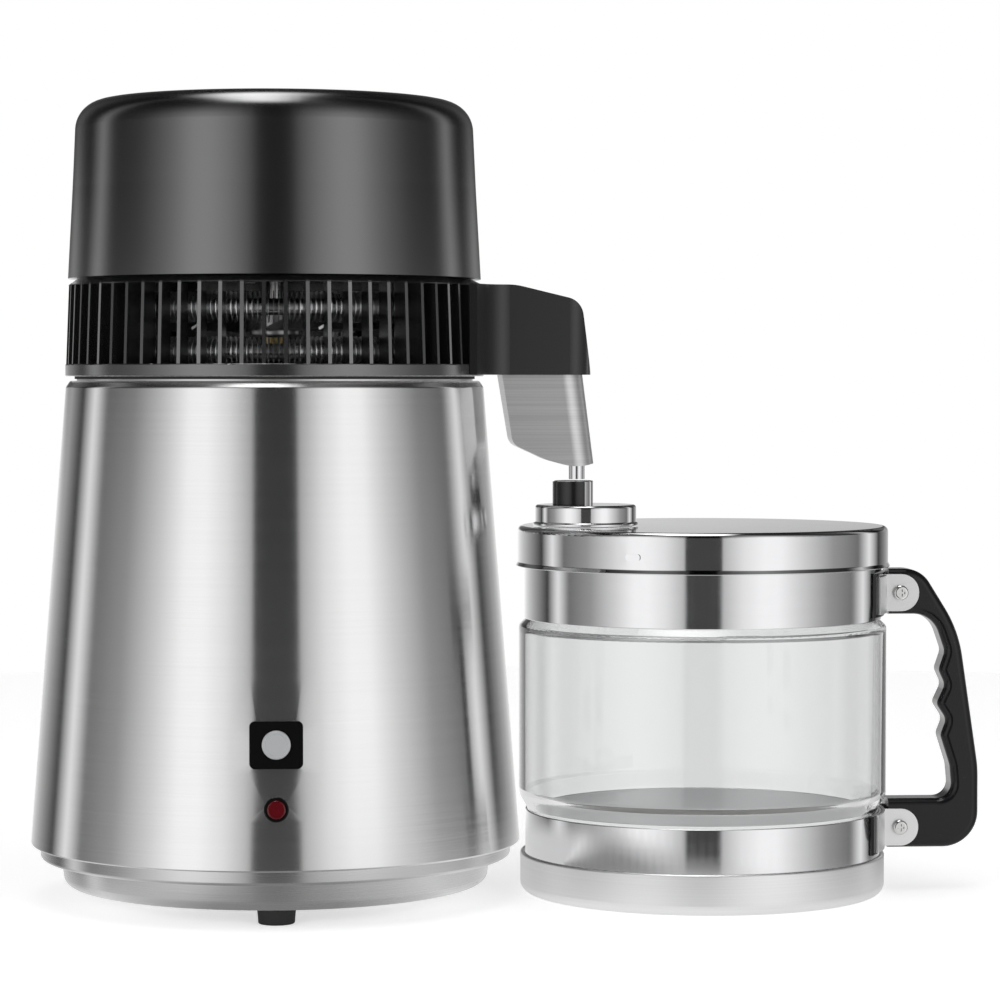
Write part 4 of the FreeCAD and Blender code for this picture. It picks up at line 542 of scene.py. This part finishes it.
class DISTILLER_OT_stage(Operator):
    """Lay the paper, hang the lamps and place the camera"""

    bl_idname = "distiller.stage"
    bl_label = "Studio"

    def execute(self, context):
        scene = context.scene
        studio = scene.distiller_studio
        scene.view_settings.view_transform = "Standard"

        view = bpy.data.cameras.new("Camera")
        view.lens = studio.lens
        view.sensor_width = FILM_WIDTH
        camera = bpy.data.objects.new("Camera", view)
        camera.location = studio.eye
        camera.rotation_euler = (math.pi / 2 - studio.tilt, 0, -studio.pan)
        scene.collection.objects.link(camera)
        scene.camera = camera

        self.lay_paper(tuple(studio.paper))
        self.light_room(scene, studio.room)
        self.hang_tent()
        for box in SOFT_BOXES:
            lamp(*box)
        return {"FINISHED"}

    def lay_paper(self, color):
        """White paper, which keeps the object's shadow; mirror images show its painted glow,
        brighter at the sides.
        """
        paper = Paint("white_paper", color)
        fibre = paper.noise(paper.place(), 40, 3.0)
        paper.feed("Roughness", fibre * 0.1 + 0.85)
        dark = paper.node("ShaderNodeEmission", {}, {"Strength": 0.0})
        glow = paper.node("ShaderNodeEmission", {}, {"Strength": PAPER_GLOW})
        lift = paper.either(paper.seen("Camera", "Transmission"), dark, glow)
        lit = Signal(paper, paper.shader.outputs[0])
        shown = paper.node("ShaderNodeAddShader", {}, {0: lit, 1: lift})

        clear = paper.node("ShaderNodeBsdfTransparent", {}, {})
        # Painted reflection: in mirror images the paper glows dim on the camera's side of the
        # boiler, brightest at its sides, and is clear beyond 0.3 m
        around = paper.ramp(
            paper.azimuth(paper.place(BOILER_AXIS)),
            (0.0, 0.3), (0.1, 0.36), (0.2, 0.62), (0.33, 1.0), (0.45, 0.8),
        )
        white = paper.node(
            "ShaderNodeEmission", {}, {"Color": around, "Strength": PAPER_MIRRORED}
        )
        near = paper.ramp(paper.length(paper.place()), (0.2, 1.0), (0.3, 0.0))
        mirrored = paper.either(near, clear, white)
        paper.end(paper.either(paper.seen("Glossy"), shown, mirrored), "Material Output")

        sheet = bmesh.new()
        bmesh.ops.create_circle(sheet, cap_ends=True, segments=64, radius=PAPER_RADIUS)
        floor = put_up("floor", sheet, paper.material)

    def hang_tent(self):
        """A round light tent that shows only in what mirrors it."""
        cloth = bpy.data.materials.new("tent_cloth")
        cloth.use_nodes = True
        tree = Nodes(cloth.node_tree)
        tree.end(tent_glow(tree, tree.place(BOILER_AXIS)), "Material Output")
        cloth.cycles.emission_sampling = "NONE"
        wall = bmesh.new()
        bmesh.ops.create_cone(
            wall, cap_ends=False, segments=96, radius1=TENT_RADIUS, radius2=TENT_RADIUS,
            depth=TENT_TALL,
        )
        bmesh.ops.translate(wall, verts=wall.verts, vec=BOILER_AXIS)
        tent = put_up("tent", wall, cloth)
        for ray in ("camera", "diffuse", "transmission", "shadow"):
            setattr(tent, f"visible_{ray}", False)

    def light_room(self, scene, strength):
        """A room that is white to look at; through glass it is dimmer towards the sides."""
        scene.world = bpy.data.worlds.new("studio")
        scene.world.use_nodes = True
        room = Nodes(scene.world.node_tree)
        way = room.node("ShaderNodeTexCoord", {}, {}, out="Generated")
        plain = room.node("ShaderNodeBackground", {}, {"Strength": strength})
        white = room.node("ShaderNodeBackground", {}, {"Color": (1, 1, 1, 1)})
        depth = room.ramp(abs(way.part(1)), (0.0, 0.45), (0.5, 0.65), (0.85, 1.0))
        through = room.node("ShaderNodeBackground", {}, {"Color": depth})
        mirrored = room.either(room.seen("Glossy"), plain, tent_glow(room, way))
        glass = room.either(room.seen("Transmission"), mirrored, through)
        room.end(room.either(room.seen("Camera"), glass, white), "World Output")


# The pieces


class DISTILLER_OT_boiler(Operator):
    """Finish the boiler: brushed casing, base, feet and what the casing holds"""

    bl_idname = "distiller.boiler"
    bl_label = "Boiler"

    def execute(self, context):
        steel = tuple(context.scene.distiller_finishes.casing)
        dress(brushed_steel("casing_brushed", steel, 0.19, BOILER_AXIS), "casing")
        duller = tuple(c * 0.85 for c in steel)
        dress(
            brushed_steel("base_satin", duller, 0.26, BOILER_AXIS, anisotropic=0.8), "base_ring"
        )
        dress(
            satin_sheet("inner_sheet", (0.6, 0.6, 0.6), 0.32),
            "bottom_plate", "boiler_tank", "heat_shield",
        )
        dress(soft_rubber("foot_rubber", (0.018, 0.018, 0.018)), "rubber_feet", "head_gasket")
        dress(turned_metal("cast_aluminium", (0.7, 0.7, 0.71), 0.42), "heater_plate")
        dress(turned_metal("element_sheath", (0.42, 0.4, 0.38), 0.36), "heating_element")
        dress(dry_ceramic("steatite", (0.8, 0.78, 0.73)), "heater_terminals")
        dress(
            zinc_plate("zinc_plate", (0.62, 0.62, 0.6)),
            "base_fasteners", "heater_fasteners", "head_fasteners", "boil_dry_thermostat",
            "overheat_cutout", "motor_bracket", "motor_can",
        )
        return {"FINISHED"}


class DISTILLER_OT_controls(Operator):
    """Finish the start button, the indicator and the sockets at the back"""

    bl_idname = "distiller.controls"
    bl_label = "Button, lamp and sockets"

    def execute(self, context):
        finishes = context.scene.distiller_finishes
        dress(
            moulded_plastic(
                "bezel_black", (0.003, 0.003, 0.003), 0.2, pebble=0.000004,
                Specular_IOR_Level=0.25,
            ),
            "button_bezel", "indicator_rim", "power_inlet", "fan_socket", "head_socket",
        )
        dress(
            moulded_plastic(
                "button_grey", (0.4, 0.41, 0.42), 0.3, pebble=0.000006, Coat_Weight=0.3
            ),
            "start_button",
        )
        dress(
            moulded_plastic("switch_black", (0.03, 0.03, 0.03), 0.45),
            "switch_body", "indicator_nut",
        )
        dress(turned_metal("spring_wire", (0.6, 0.6, 0.6), 0.25), "button_spring")
        dress(lamp_lens("lamp_red", tuple(finishes.lens)), "indicator_lens")
        dress(turned_metal("pin_brass", (0.75, 0.58, 0.26), 0.28), "socket_pins", "fan_nut")
        return {"FINISHED"}


class DISTILLER_OT_head(Operator):
    """Finish the dome, the louvre ring, the arm and the steel shroud of the spout"""

    bl_idname = "distiller.head"
    bl_label = "Head and spout"

    def execute(self, context):
        finishes = context.scene.distiller_finishes
        black = tuple(finishes.head)
        dress(
            moulded_plastic(
                "head_satin", black, 0.2, pebble=0.000003, size=1800, Coat_Weight=1.0,
                Coat_IOR=2.2, Specular_IOR_Level=0.4,
            ),
            "dome_cover", "louvre_ring",
        )
        dress(
            moulded_plastic(
                "arm_satin", black, 0.24, pebble=0.000003, size=1800, Coat_Weight=1.0,
                Coat_IOR=1.45, Specular_IOR_Level=0.2,
            ),
            "spout_hood", "hood_floor",
        )
        spout = centre_of("spout_shroud").xy.to_3d()
        dress(
            brushed_steel(
                "shroud_brushed", (0.66, 0.66, 0.66), 0.42, spout, depth=0.00003,
                anisotropic=0.3, spread=0.16, lean=0.4,
            ),
            "spout_shroud",
        )
        dress(satin_sheet("floor_sheet", (0.62, 0.62, 0.62), 0.3), "steam_plate")
        dress(polished_steel("nozzle_steel", tuple(finishes.bright), 0.12), "drip_nozzle")
        dress(clear_silicone("silicone_hose", (0.78, 0.77, 0.75)), "outlet_hose")
        return {"FINISHED"}


class DISTILLER_OT_condenser(Operator):
    """Finish the condenser coil and put close fins on it"""

    bl_idname = "distiller.condenser"
    bl_label = "Condenser"

    def execute(self, context):
        settings = context.scene.distiller_condenser
        dress(satin_sheet("coil_tube", (0.66, 0.66, 0.66), 0.25), "condenser_coil")
        low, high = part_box("coil_fins")
        fin_width = high.z - low.z - COIL_RISE
        radius = (high.y - low.y - fin_width) / 2
        fin_radius = (high.y - low.y) / 2 - radius
        fins = bmesh.new()
        for level in (low.z + fin_radius, high.z - fin_radius):
            self.string_fins(fins, settings, radius, level, fin_radius)
        finish = turned_metal("fin_aluminium", (0.8, 0.8, 0.81), 0.28)
        made = put_up("condenser_fins", fins, finish.material)
        made.data.shade_smooth()
        made.data.set_sharp_from_angle(angle=FIN_SHARP)
        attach(made, "head")
        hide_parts("coil_fins")
        return {"FINISHED"}

    def string_fins(self, fins, settings, radius, level, fin_radius):
        """Flat round fins, side by side along one turn, but for the gap where the turn ends."""
        fin = bmesh.new()
        size = fin_radius - FIN_SLACK
        bmesh.ops.create_cone(
            fin, cap_ends=True, segments=settings.fin_sides, radius1=size, radius2=size,
            depth=FIN_SHEET,
        )
        bmesh.ops.translate(fin, verts=fin.verts, vec=(0, 0, FIN_SHIFT))
        bmesh.ops.rotate(fin, verts=fin.verts, matrix=Matrix.Rotation(math.pi / 2, 3, "X"))
        bmesh.ops.translate(fin, verts=fin.verts, vec=(radius, 0, 0))
        one = bpy.data.meshes.new("fin")
        fin.to_mesh(one)
        fin.free()
        arc = 2 * math.pi - COIL_GAP
        count = int(arc * radius / settings.fin_pitch)
        for n in range(count):
            before = len(fins.verts)
            fins.from_mesh(one)
            fins.verts.ensure_lookup_table()
            new = fins.verts[before:]
            turn = -(COIL_GAP / 4 + arc * (n + 0.5) / count)
            bmesh.ops.rotate(fins, verts=new, matrix=Matrix.Rotation(turn, 3, "Z"))
            bmesh.ops.translate(fins, verts=new, vec=BOILER_AXIS + Vector((0, 0, level)))
        bpy.data.meshes.remove(one)


class DISTILLER_OT_fan(Operator):
    """Finish the fan and its motor"""

    bl_idname = "distiller.fan"
    bl_label = "Fan and motor"

    def execute(self, context):
        dress(turned_metal("blade_aluminium", (0.76, 0.76, 0.77), 0.34), "fan_blades")
        dress(turned_metal("ground_shaft", (0.6, 0.6, 0.6), 0.18, (0.2, 0.2, 3)), "fan_shaft")
        dress(laminated_core("core_sheets", (0.2, 0.2, 0.22), 0.0007), "stator_core", "motor_rotor")
        dress(wound_wire("copper_winding", (0.72, 0.33, 0.17), 0.0006), "stator_windings")
        dress(turned_metal("sintered_bronze", (0.55, 0.37, 0.19), 0.45), "motor_bushes")
        return {"FINISHED"}


class DISTILLER_OT_jug(Operator):
    """Finish the glass jug, its cup, bands and handle"""

    bl_idname = "distiller.jug"
    bl_label = "Jug"

    def execute(self, context):
        finishes = context.scene.distiller_finishes
        bright = tuple(finishes.bright)
        dress(jug_clear("jug_clear", tuple(finishes.glass)), "jug_glass")
        dress(
            brushed_steel("cup_satin", (0.86, 0.86, 0.86), 0.45, JUG_AXIS, anisotropic=0.4),
            "base_cup",
        )
        for band in ("lower_band", "upper_band"):
            low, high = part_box(band)
            radius = (high.y - low.y) / 2
            dress(polished_steel(f"{band}_steel", bright, 0.08, radius), band)
        dress(satin_sheet("strap_satin", (0.9, 0.9, 0.9), 0.42), "handle_straps")
        dress(
            moulded_plastic(
                "handle_gloss", tuple(finishes.handle), 0.14, pebble=0.000006, size=700,
                Specular_IOR_Level=0.3,
            ),
            "jug_handle", "handle_saddles",
        )
        dress(polished_steel("screw_steel", (0.7, 0.7, 0.69), 0.14), "handle_fasteners")
        return {"FINISHED"}


class DISTILLER_OT_lid(Operator):
    """Finish the lid, the filler cap and the drip neck"""

    bl_idname = "distiller.lid"
    bl_label = "Lid and cap"

    def execute(self, context):
        finishes = context.scene.distiller_finishes
        dress(
            polished_steel("lid_steel", tuple(finishes.bright), 0.07),
            "jug_lid", "filler_cap", "drip_neck",
        )
        dress(
            moulded_plastic(
                "sleeve_black", tuple(finishes.handle), 0.22, pebble=0.000006, size=700
            ),
            "neck_sleeve",
        )
        dress(
            clear_silicone("silicone_seal", (0.76, 0.75, 0.73)),
            "lid_seal", "filler_seal", "glass_pad",
        )
        return {"FINISHED"}


class DISTILLER_OT_apart(Operator):
    """Keep each vessel out of the other's mirror image, as if each stood alone in the tent"""

    bl_idname = "distiller.apart"
    bl_label = "Mirror images"

    def execute(self, context):
        for name in MIRRORED_ALONE:
            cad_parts[name].visible_glossy = False
        return {"FINISHED"}


OPERATORS = (
    DISTILLER_OT_stage,
    DISTILLER_OT_boiler,
    DISTILLER_OT_controls,
    DISTILLER_OT_head,
    DISTILLER_OT_condenser,
    DISTILLER_OT_fan,
    DISTILLER_OT_jug,
    DISTILLER_OT_lid,
    DISTILLER_OT_apart,
)
SETTINGS = {
    "distiller_studio": DistillerStudio,
    "distiller_finishes": DistillerFinishes,
    "distiller_condenser": DistillerCondenser,
}


class DISTILLER_PT_panel(Panel):
    """Lists the settings and the steps that dress the distiller"""

    bl_label = "Distiller"
    bl_idname = "DISTILLER_PT_panel"
    bl_space_type = "VIEW_3D"
    bl_region_type = "UI"
    bl_category = "Distiller"

    def draw(self, context):
        for name, group in SETTINGS.items():
            box = self.layout.box()
            for field in group.__annotations__:
                box.prop(getattr(context.scene, name), field)
        for step in OPERATORS:
            self.layout.operator(step.bl_idname)


CLASSES = (*SETTINGS.values(), *OPERATORS, DISTILLER_PT_panel)


def register():
    for each in CLASSES:
        bpy.utils.register_class(each)
    for name, group in SETTINGS.items():
        setattr(bpy.types.Scene, name, PointerProperty(type=group))


def unregister():
    for name in SETTINGS:
        delattr(bpy.types.Scene, name)
    for each in reversed(CLASSES):
        bpy.utils.unregister_class(each)


def main():
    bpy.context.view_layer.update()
    register()
    for step in OPERATORS:
        group, name = step.bl_idname.split(".")
        getattr(getattr(bpy.ops, group), name)()


if __name__ == "__main__":
    main()
